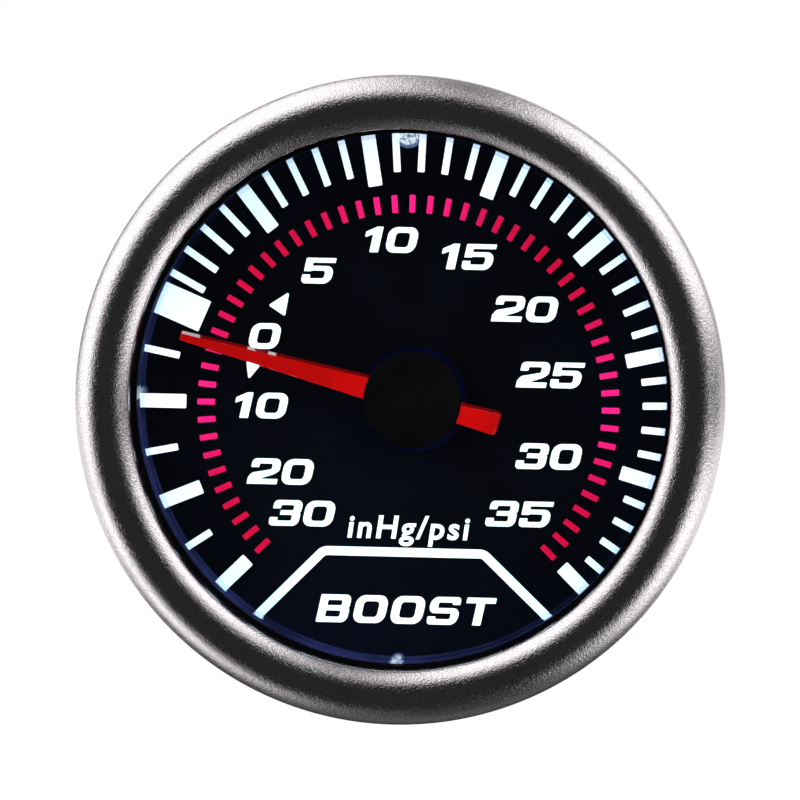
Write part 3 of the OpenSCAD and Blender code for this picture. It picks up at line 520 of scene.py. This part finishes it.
def lamp_light(x, z, lamps, width):
    """How much a point lies over one of the lamps, from 0 to 1."""
    return min(1.0, sum(math.exp(-((x - a) ** 2 + (z - b) ** 2) / (2 * width ** 2)) for a, b in lamps))


def white_ink_and_light(x, z):
    """A bluish white ink with painted light that makes it purer over the lamps, and painted shade that dims
    it outside DIM_EDGE_R.
    """
    k = lamp_light(x, z, RIM_LAMPS + HUB_LAMPS, 4.6)
    edge = 1.0 if math.hypot(x, z) < DIM_EDGE_R else 0.90
    return ((0.715 + 0.285 * k) * edge, (0.93 + 0.07 * k) * edge, (0.925 + 0.075 * k) * (0.5 + 0.5 * edge))


def red_ink_and_light(x, z):
    """A red ink with painted light that makes it pinker and stronger over the scale's lamps."""
    k = lamp_light(x, z, RIM_LAMPS, 4.4)
    return (0.50 + 0.42 * k, 0.0008 + 0.012 * k, 0.038 + 0.19 * k)


white = lit_print("white_lit_ink", 0.95)
red = lit_print("red_lit_ink", 0.82)


def on_dial(x, z):
    """A place of the print, from the case's axis."""
    return (PRINT_X + x, PRINT_Z + z)


def on_ray(angle, along, across):
    """A place at a distance along a ray from the print's centre, and at a distance to the ray's left."""
    a = math.radians(angle)
    return on_dial(along * math.cos(a) - across * math.sin(a), along * math.sin(a) + across * math.cos(a))


def reach(start, direction, radius):
    """How far it is from a place inside a circle round the case's axis out to the circle."""
    b = start.dot(direction)
    return math.sqrt(b * b - start.dot(start) + radius ** 2) - b


# Marks and dashes
ZERO, END, LEFT_END = 157.5, -45.0, 225.0                 # degrees, counterclockwise from three o'clock
ZERO_MARK, LONG_MARK, SHORT_MARK = (20.75, 3.05), (20.73, 1.31), (21.84, 0.65)  # inner radius and width
MARK_CORNER = 0.10
DASHES, DASH_STEP = 55, 5.0
DASH_R, DASH_LENGTH, DASH_WIDTH, DASH_CORNER = 18.87, 1.66, 0.55, 0.09


def mark(angle, inner, width):
    """A mark of the scale, which runs out to the cut of the dial."""
    a = math.radians(angle)
    direction = Vector((math.cos(a), math.sin(a)))
    half, c = width / 2, MARK_CORNER
    outer = []
    for k in range(7):
        side = -half + width * k / 6
        outer.append((reach(Vector(on_ray(angle, 0, side)), direction, CUT_R), side))
    return [on_ray(angle, along, across) for along, across in outer + [
        (inner + c, half), (inner + c * 0.3, half - c * 0.3), (inner, half - c),
        (inner, -half + c), (inner + c * 0.3, -half + c * 0.3), (inner + c, -half)]]


def marks_to(end, count, long_every):
    """The marks after zero, evenly spread to an end."""
    return [mark(ZERO + (end - ZERO) * k / count, *(SHORT_MARK if k % long_every else LONG_MARK))
            for k in range(1, count + 1)]


def dash(angle):
    outline = rounded(box_corners(DASH_R - DASH_LENGTH / 2, -DASH_WIDTH / 2,
                                  DASH_R + DASH_LENGTH / 2, DASH_WIDTH / 2, DASH_CORNER))
    return [on_ray(angle, along, across) for along, across in outline]


printed("scale_marks", [mark(ZERO, *ZERO_MARK)] + marks_to(END, 35, 5) + marks_to(LEFT_END, 6, 2),
        white, white_ink_and_light)
printed("red_dashes", [dash(LEFT_END - DASH_STEP * k) for k in range(DASHES)], red, red_ink_and_light)

# Figures
# They are wide, bold and slanted, and drawn on a height of 1. Each has its width and its outlines of
# (x, y, corner radius).
W = 1.17
SLANT = math.tan(math.radians(11.5))
FIGURES = {
    "0": (W, [box_corners(0, 0, W, 1, .34), box_corners(.31, .215, W - .31, .785, .13)]),
    "1": (.74, [[(.29, 0, .03), (.63, 0, .03), (.63, 1, .03), (.40, 1, .06), (.0, .80, .04), (.0, .575, .04),
                 (.29, .70, .03)]]),
    "2": (W, [[(0, 0, .02), (W, 0, .02), (W, .205, .02), (.46, .205, .02), (W - .20, .385, .10),
               (W, .52, .16), (W, 1, .32), (.04, 1, .30), (.04, .655, .03), (.35, .655, .03), (.35, .80, .05),
               (W - .31, .80, .07), (W - .31, .585, .07), (.12, .44, .16), (0, .26, .10)]]),
    "3": (W, [[(0, 0, .24), (W - .01, 0, .32), (W - .01, .50, .12), (W - .07, .53, .05), (W, .57, .10),
               (W, 1, .32), (.05, 1, .30), (.05, .67, .03), (.35, .67, .03), (.35, .81, .05),
               (W - .31, .81, .07), (W - .31, .605, .07), (.37, .605, .02), (.37, .425, .02),
               (W - .32, .425, .07), (W - .32, .20, .07), (.31, .20, .05), (.31, .33, .03), (0, .33, .03)]]),
    "5": (W, [[(0, 0, .24), (W, 0, .32), (W, .69, .28), (.33, .69, .02), (.33, .815, .02),
               (W + .02, .815, .02), (W + .02, 1, .02), (.03, 1, .05), (.03, .475, .03), (.31, .475, .02),
               (.37, .505, .04), (W - .31, .505, .09), (W - .31, .205, .09), (.31, .205, .05),
               (.31, .345, .03), (0, .345, .03)]]),
    "B": (1.22, [[(0, 0, .04), (1.22, 0, .28), (1.22, .50, .12), (1.15, .53, .05), (1.21, .57, .10),
                  (1.21, 1, .28), (0, 1, .04)],
                 [(.32, .61, .05), (.89, .61, .07), (.89, .80, .07), (.32, .80, .05)],
                 [(.32, .20, .05), (.89, .20, .07), (.89, .42, .07), (.32, .42, .05)]]),
    "O": (1.27, [box_corners(0, 0, 1.27, 1, .34), box_corners(.33, .215, .94, .785, .13)]),
    "S": (1.20, [[(0, 0, .24), (1.20, 0, .30), (1.20, .60, .24), (.33, .60, .04), (.33, .80, .05),
                  (.88, .80, .04), (.88, .72, .03), (1.18, .72, .03), (1.18, 1, .28), (0, 1, .30),
                  (0, .41, .22), (.88, .41, .05), (.88, .20, .06), (.31, .20, .05), (.31, .29, .03),
                  (0, .29, .03)]]),
    "T": (1.16, [[(.415, 0, .03), (.745, 0, .03), (.745, .795, .02), (1.16, .795, .02), (1.16, 1, .04),
                  (0, 1, .04), (0, .795, .02), (.415, .795, .02)]]),
}
NUMBERS = [("10", -1.94, 15.47), ("15", 5.23, 14.04), ("5", -8.65, 12.44), ("20", 10.73, 9.29),
           ("0", -13.52, 6.24), ("25", 13.17, 3.19), ("10", -13.76, -0.24), ("30", 13.23, -4.40),
           ("20", -11.75, -6.37), ("30", -9.66, -10.22), ("35", 10.54, -9.83)]
NUMBER_HEIGHT, NUMBER_GAP = 2.40, 0.13


def written(text, centre, height, gap, stretch=1.0):
    """Loops of a line of figures, centred on a place of the print. The gap is a share of the height."""
    left = -(sum(FIGURES[figure][0] for figure in text) + gap * (len(text) - 1)) / 2
    loops = []
    for figure in text:
        width, outlines = FIGURES[figure]
        for outline in outlines:
            loops.append([on_dial(centre[0] + ((left + x) * stretch + SLANT * (y - 0.5)) * height,
                                  centre[1] + (y - 0.5) * height) for x, y in rounded(outline)])
        left += width + gap
    return loops


numerals = [written(text, (x, z), NUMBER_HEIGHT, NUMBER_GAP) for text, x, z in NUMBERS]
printed("numerals", [loop for loops in numerals for loop in loops], white, white_ink_and_light)

# Arrows on both sides of zero, with each corner's place and radius
UP_ARROW = [(-13.24, 9.12, .12), (-11.31, 10.42, .12), (-11.67, 8.12, .12)]
DOWN_ARROW = [(-14.97, 2.12, .12), (-15.27, 4.41, .12), (-13.53, 3.94, .12)]
printed("range_arrows", [[on_dial(x, z) for x, z in rounded(arrow)] for arrow in (UP_ARROW, DOWN_ARROW)],
        white, white_ink_and_light)

# The frame round the word
FRAME_TOP = -13.64
FRAME_LEFT, FRAME_RIGHT = (-7.62, FRAME_TOP), (7.32, FRAME_TOP)
FRAME_LEFT_END, FRAME_RIGHT_END = (-13.45, -19.61), (13.45, -19.44)
FRAME_WIDTH, FRAME_CORNER = 0.84, 0.5
FRAME_INSET = 0.1                                         # its ends stop short of the cut by this much


def band(points, width, corner):
    """The outline of an open line of (x, z) that has a width and round corners."""
    left, right = [], []
    last = len(points) - 1
    for i, point in enumerate(points):
        here = Vector(point)
        after = (Vector(points[i + 1]) - here).normalized() if i < last else None
        before = (here - Vector(points[i - 1])).normalized() if i else after
        along = (before + (after or before)).normalized()
        side = Vector((-along.y, along.x))
        offset = side * (width / 2 / max(0.3, side.dot(Vector((-before.y, before.x)))))
        inside = 0 < i < last
        left.append((*(here + offset), corner + width if inside else 0))
        right.append((*(here - offset), corner if inside else 0))
    return rounded(left + right[::-1], 7)


def run_out(start, through):
    """The place where the line from start on through another place comes to its end near the cut."""
    first, second = Vector(on_dial(*start)), Vector(on_dial(*through))
    direction = (second - first).normalized()
    end = first + direction * reach(first, direction, CUT_R - FRAME_INSET)
    return tuple(end - Vector(on_dial(0, 0)))


frame_line = [run_out(FRAME_LEFT, FRAME_LEFT_END), FRAME_LEFT,
              FRAME_RIGHT, run_out(FRAME_RIGHT, FRAME_RIGHT_END)]
printed("name_frame", [[on_dial(x, z) for x, z in band(frame_line, FRAME_WIDTH, FRAME_CORNER)]],
        white, white_ink_and_light)

# The word inside the frame
WORD_PLACE, WORD_HEIGHT = (0.21, -19.02), 2.60
WORD_GAP, WORD_STRETCH = 0.20, 0.91
printed("dial_word", written("BOOST", WORD_PLACE, WORD_HEIGHT, WORD_GAP, WORD_STRETCH), white, white_ink_and_light)

# The units above the frame
UNIT_PLACE, UNIT_HEIGHT = (0.16, -12.32), 2.96
UNIT_BOLDNESS, UNIT_SPACING, UNIT_SLANT = 0.07, 1.17, 0.13


def unit_text():
    """The units of the scale's two sides, in a plain face that slants a little."""
    curve = bpy.data.curves.new("unit_text", "FONT")
    curve.body = "inHg/psi"
    curve.size, curve.offset = UNIT_HEIGHT * MM, UNIT_BOLDNESS * MM
    curve.space_character, curve.shear = UNIT_SPACING, UNIT_SLANT
    curve.align_x = "CENTER"
    curve.resolution_u = 4
    inked("unit_text", curve, white, white_ink_and_light, *on_dial(*UNIT_PLACE))


unit_text()

# The bezel, a sheet with a rolled bead, in mm
OPENING_R, EDGE_R, SEAT_R = 25.0, 30.0, 26.35             # the seat on the panel reaches in to SEAT_R
BEAD_X, BEAD_H, BEAD_R = 27.25, 5.0, 3.0                  # the middle and the radius of the bead's section
SHEET = 0.8
LIP_H = 4.8                                               # where the edge round the opening starts
CHAMFER, BREAK = 0.42, 0.06                               # the chamfer at the panel, and the broken edges
BEZEL_STEPS = 480


def bead_arc(radius, start, end, steps):
    """The bead's round section from one radius of the bezel to another."""
    first, last = math.acos((start - BEAD_X) / radius), math.acos((end - BEAD_X) / radius)
    angles = [first + (last - first) * k / steps for k in range(steps + 1)]
    return [(BEAD_X + radius * math.cos(a), BEAD_H + radius * math.sin(a)) for a in angles]


def bezel_profile():
    """The bezel's section as (radius, height), closed."""
    front = [(OPENING_R, LIP_H + BREAK), (OPENING_R, 6.86), (OPENING_R + 0.02, 6.93)]
    front += bead_arc(BEAD_R, OPENING_R + BREAK, EDGE_R - BREAK, 40)
    edge = [(EDGE_R - BREAK / 4, 6.20), (EDGE_R, 6.10), (EDGE_R, CHAMFER),
            (EDGE_R - BREAK / 2, CHAMFER - BREAK), (EDGE_R - CHAMFER + BREAK, BREAK / 2)]
    seat = [(EDGE_R - CHAMFER, 0.0), (SEAT_R + 0.07, 0.0), (SEAT_R, 0.07),
            (SEAT_R, SHEET), (EDGE_R - SHEET, SHEET)]
    inside = bead_arc(BEAD_R - SHEET, OPENING_R + SHEET, EDGE_R - SHEET, 14)[::-1]
    lip = [(OPENING_R + SHEET, LIP_H), (OPENING_R + BREAK, LIP_H)]
    return front + edge + seat + inside + lip


def turned(name, profile, body, slot, steps):
    """Turns a closed section of (radius, height) in mm round the case's axis."""
    points, faces = [], []
    count = len(profile)
    for i in range(steps):
        a = 2 * math.pi * i / steps
        points += [(r * math.cos(a) * MM, -h * MM, r * math.sin(a) * MM) for r, h in profile]
        here, beside = i * count, (i + 1) % steps * count
        for k in range(count):
            m = (k + 1) % count
            faces.append((here + k, beside + k, beside + m, here + m))
    return keep(name, mesh_of(name, points, faces), body, slot)


bezel = turned("bezel", bezel_profile(), "case", "satin_bezel", BEZEL_STEPS)
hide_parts("bezel_ring")

# The studs with their threads cut, in mm along +Y
STUDS_X = (-16.0, 16.0)
STUD_R, ROOT_R, PITCH = 2.0, 1.76, 0.7
HEAD_R, HEAD_START, HEAD_END, HEAD_EDGE = 3.5, 32.4, 33.2, 0.1
THREAD_START, THREAD_END, STUD_END = 35.2, 55.75, 56.0
NECK_TAPER, END_CHAMFER = 0.35, 0.2
CREST, FLANK = 1.25, 3.2                                  # the crest is cut flat at 1; FLANK is a slope
LAST_DEPTH = 0.15                                         # the share of the thread's depth where it ends
END_R = 0.001                                             # closes an end in its middle
STUD_STEPS, PITCH_STEPS = 40, 8


def thread_radius(y, turn, depth):
    """The stud's radius at y and at a share of a turn, where the thread is cut to a share of its depth."""
    place = (y / PITCH - turn) % 1.0
    height = min(1.0, max(0.0, CREST - abs(place - 0.5) * FLANK))
    return ROOT_R + (STUD_R - ROOT_R) * height * depth


def stud_rings():
    """The rings of a stud as (y, radii), from its head inside the case to the end of its thread."""
    head = [(HEAD_START, END_R), (HEAD_START, HEAD_R - HEAD_EDGE), (HEAD_START + HEAD_EDGE, HEAD_R),
            (HEAD_END - HEAD_EDGE, HEAD_R), (HEAD_END, HEAD_R - HEAD_EDGE)]
    neck = [(HEAD_END, STUD_R), (THREAD_START - NECK_TAPER, STUD_R), (THREAD_START, ROOT_R)]
    rings = [(y, [radius] * STUD_STEPS) for y, radius in head + neck]
    steps = int((THREAD_END - THREAD_START) / PITCH * PITCH_STEPS)
    for k in range(steps + 1):
        y = THREAD_START + (THREAD_END - THREAD_START) * k / steps
        depth = min(1.0, k / PITCH_STEPS, (steps - k) / PITCH_STEPS + LAST_DEPTH)
        rings.append((y, [thread_radius(y, i / STUD_STEPS, depth) for i in range(STUD_STEPS)]))
    return rings + [(STUD_END, [radius] * STUD_STEPS) for radius in (ROOT_R - END_CHAMFER, END_R)]


def threaded_studs():
    """Both studs, skinned over their rings."""
    points, faces = [], []
    rings = stud_rings()
    for x in STUDS_X:
        for k, (y, radii) in enumerate(rings):
            here = len(points)
            for i, radius in enumerate(radii):
                a = 2 * math.pi * i / STUD_STEPS
                points.append(((x + radius * math.cos(a)) * MM, y * MM, radius * math.sin(a) * MM))
                j = (i + 1) % STUD_STEPS
                if k:
                    faces.append((here - STUD_STEPS + i, here - STUD_STEPS + j, here + j, here + i))
    return keep("threaded_studs", mesh_of("threaded_studs", points, faces), "case", "steel")


studs = threaded_studs()
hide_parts("mounting_studs")

# The pointer, moulded with drafted sides, in mm
REST = math.radians(165.7)
BACK_H, EDGE_H, FRONT_H = -0.6, -0.5, 0.3
LEAN, LEAN_DOWN = 0.17, 0.09                              # how far the front edge lies in, and how much lower
POINTER_EDGE = 0.035
# Places are (distance along the pointer, distance across it, corner radius).
ARM = [(4.25, -1.16, 0), (22.5, -0.46, .24), (22.5, 0.46, .24), (4.25, 1.16, 0)]
TAIL = [(-4.25, 1.0, 0), (-8.3, 1.18, .42), (-8.3, -1.18, .42), (-4.25, -1.0, 0)]


def drafted(name, corners):
    """A flat piece of the pointer whose sides lean in towards its front, the upper one most.

    The corners run round counterclockwise."""
    along, across = Vector((math.cos(REST), math.sin(REST))), Vector((-math.sin(REST), math.cos(REST)))
    foot = [Vector(HUB) + along * a + across * b for a, b in rounded(corners, 6)]
    count = len(foot)
    front = []
    for i, point in enumerate(foot):
        before, after = (point - foot[i - 1]).normalized(), (foot[(i + 1) % count] - point).normalized()
        inward = Vector((-before.y, before.x))
        middle = (inward + Vector((-after.y, after.x))).normalized()
        front.append(point + middle * (LEAN / max(0.4, middle.dot(inward))) - Vector((0, LEAN_DOWN)))
    rings = ((foot, BACK_H), (foot, EDGE_H), (front, FRONT_H))
    points = [(p.x * MM, -height * MM, p.y * MM) for ring, height in rings for p in ring]
    faces = [tuple(range(count))[::-1], tuple(range(2 * count, 3 * count))]
    for here in (0, count):
        for i in range(count):
            j = (i + 1) % count
            faces.append((here + i, here + j, here + count + j, here + count + i))
    return keep(name, mesh_of(name, points, faces), "pointer", "red_pointer", smooth=False)


for piece in (drafted("pointer_arm", ARM), drafted("pointer_tail", TAIL)):
    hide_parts("pointer")
    bevel(piece, POINTER_EDGE, 35)

# Finer edges on the CAD's own pieces, in mm
WELD = 0.001
EDGES = {"hub_cap": 0.12, "case_cup": 0.12, "clamp_bracket": 0.14, "thumb_nuts": 0.10, "lock_washers": 0.08,
         "inlet_nipple": 0.08, "wire_grommet": 0.18, "socket_screws": 0.10}
for name, width in EDGES.items():
    nodes[name].modifiers.new("weld", "WELD").merge_threshold = WELD * MM
    bevel(nodes[name], width, 32)

# The floor, in m
# It begins behind the bezel, which would mirror it, and runs on behind the gauge.
FLOOR_Z, FLOOR_FRONT = -0.062, 0.012
SQUARE, HALF_COLUMNS, ROWS = 0.1, 20, 30


def floor_material():
    """A pale floor that is white to the camera. What mirrors it sees painted shade on it close to the gauge.
    """
    t = material_tree("pale_floor")
    x, y, _ = t.split(t.add("ShaderNodeTexCoord").outputs["Object"])
    far = t.length(x, y)
    white_share = t.most(t.smooth(far, 0.06, 0.40, 0.55, 1.0),
                         t.smooth(y, FLOOR_FRONT + 0.05, FLOOR_FRONT, 0.0, 1.0))
    path = t.add("ShaderNodeLightPath").outputs
    seen = path["Is Camera Ray"]
    mirrored = t.most(path["Is Glossy Ray"], path["Is Transmission Ray"])
    patches = t.smooth(t.noise(0.05, 3.0), 0.3, 0.7)
    plain = t.shader("BsdfDiffuse", Color=t.mix(patches, rgb(0.80, 0.80, 0.80), rgb(0.84, 0.84, 0.84)))
    # Painted shade: to mirrored rays the floor's glow is dark close to the gauge.
    strength = t.most(seen, t.smooth(far, 0.05, 0.15, 0.05, 1.0))
    glow = t.shader("Emission", Color=rgb(1, 1, 1), Strength=strength)
    return t.out(t.blend(t.most(t.times(seen, white_share), mirrored), plain, glow))


def floor_mesh():
    columns = [k * SQUARE for k in range(-HALF_COLUMNS, HALF_COLUMNS + 1)]
    lines = [FLOOR_FRONT + k * SQUARE for k in range(ROWS + 1)]
    step = len(columns)
    corners = [row * step + column for row in range(ROWS) for column in range(step - 1)]
    return mesh_of("floor", [(x, y, 0) for y in lines for x in columns],
                   [(k, k + 1, k + step + 1, k + step) for k in corners])


floor = bpy.data.objects.new("floor", floor_mesh())
scene.collection.objects.link(floor)
floor.location = (0, 0, FLOOR_Z)
floor.data.materials.append(floor_material())

# Lamps, in m
LAMP_DISTANCE = 1.0


def softbox(name, direction, size, energy):
    """A square area lamp that looks at the gauge. Metal and glass see the world's own softboxes instead."""
    lamp = bpy.data.lights.new(name, "AREA")
    lamp.shape, lamp.size = "SQUARE", size
    lamp.energy = energy
    ob = bpy.data.objects.new(name, lamp)
    scene.collection.objects.link(ob)
    towards = Vector(direction).normalized()
    ob.location = towards * LAMP_DISTANCE
    ob.rotation_mode = "QUATERNION"
    ob.rotation_quaternion = towards.to_track_quat("Z", "Y")
    ob.visible_glossy = False


softbox("lamp_left", (-1.0, -0.75, 0.25), 0.8, 8.0)
softbox("lamp_upper_right", (0.8, -0.75, 0.75), 0.6, 6.0)
softbox("lamp_lower_right", (0.9, -0.6, -0.35), 0.4, 2.5)
softbox("lamp_back", (0.3, 1.0, 0.7), 0.8, 7.0)

# Surroundings
# Each softbox and gap round the front, as (turn, level). Turns are in degrees, counterclockwise from three
# o'clock as seen from the front.
SOFTBOXES = [(-180, 1.0), (-134, 1.0), (-118, 0.42), (-106, 0.07), (-82, 0.02), (-60, 0.035), (-50, 0.35),
             (-41, 1.0), (-16, 1.0), (-7, 0.07), (6, 0.035), (18, 0.9), (24, 1.0), (62, 1.0), (70, 0.25),
             (84, 0.08), (93, 0.35), (99, 1.0), (180, 1.0)]
SOFTBOX_LEVEL, FRONT_LEVEL, PLAIN_LEVEL = 1.55, 0.019, 0.42
# Angles off the front, in degrees
SOFTBOX_START, SOFTBOX_FULL = 41, 60
UPPER_LEFT_SHIFT, LOWER_LEFT_SHIFT = -7, 16               # where the softboxes start nearer or farther
REAR_START, REAR_FULL, REAR_SHIFT = 92, 120, 14
BAND_START, BAND_FULL, BAND_FADE, BAND_END = 117, 126, 142, 155


def softbox_ramp(t, turn):
    """The softboxes' brightness by the share of a whole turn."""
    ramp = t.add("ShaderNodeValToRGB")
    t.link(turn, ramp.inputs[0])
    elements = ramp.color_ramp.elements
    elements.remove(elements[-1])
    for k, (angle, level) in enumerate(SOFTBOXES):
        element = elements.new((angle + 180) / 360) if k else elements[0]
        element.color = rgb(level, level, level)
    return ramp.outputs[0]


def surroundings():
    """White all round for the camera. Metal and glass see a room that is dark at the front, where the
    camera stands, with softboxes and narrow dark gaps round that, and a dimmer rear."""
    scene.world = bpy.data.worlds.new("studio")
    t = Tree(scene.world)
    x, y, z = t.split(t.add("ShaderNodeTexCoord").outputs["Generated"])
    off_front = t.times(t.maths("ARCCOSINE", t.times(y, -1.0)), 180 / math.pi)
    off_axis = t.maths("SQRT", t.plus(t.times(x, x), t.times(z, z), 1e-6))
    across, up = t.maths("DIVIDE", x, off_axis), t.maths("DIVIDE", z, off_axis)
    turn = t.plus(t.maths("DIVIDE", t.maths("ARCTAN2", z, x), 2 * math.pi), 0.5)

    # The softboxes reach nearer to the front at the upper left, and stay farther from it at the lower left.
    upper_left = t.most(t.plus(t.times(across, -0.64), t.times(up, 0.77)), 0.0)
    lower_left = t.most(t.plus(t.times(across, -0.82), t.times(up, -0.57)), 0.0)
    shift = t.plus(t.times(upper_left, UPPER_LEFT_SHIFT), t.times(lower_left, LOWER_LEFT_SHIFT))
    ring = t.smooth(t.minus(off_front, shift), SOFTBOX_START, SOFTBOX_FULL)
    front = t.between(ring, FRONT_LEVEL, t.times(softbox_ramp(t, turn), SOFTBOX_LEVEL))
    rear = t.smooth(t.minus(off_front, t.times(up, REAR_SHIFT)), REAR_START, REAR_FULL)
    room = t.between(rear, front, t.smooth(up, -0.95, 0.2, 0.12, 0.8))

    # A dark band behind the softboxes gives the bezel its dark outer edge, most of all at its bottom.
    depth = t.smooth(t.plus(up, t.times(across, 0.2)), -0.6, 0.4, 0.96, 0.6)
    dark_band = t.times(t.smooth(off_front, BAND_START, BAND_FULL),
                        t.smooth(off_front, BAND_FADE, BAND_END, 1.0, 0.0), depth)
    room = t.times(room, t.minus(1.0, dark_band))

    path = t.add("ShaderNodeLightPath").outputs
    mirrored = t.most(path["Is Glossy Ray"], path["Is Transmission Ray"])
    level = t.between(path["Is Camera Ray"], t.between(mirrored, PLAIN_LEVEL, room), 1.0)
    t.out(t.shader("Background", Color=rgb(1, 1, 1), Strength=level), "World")


surroundings()
scene.view_settings.view_transform = "Standard"
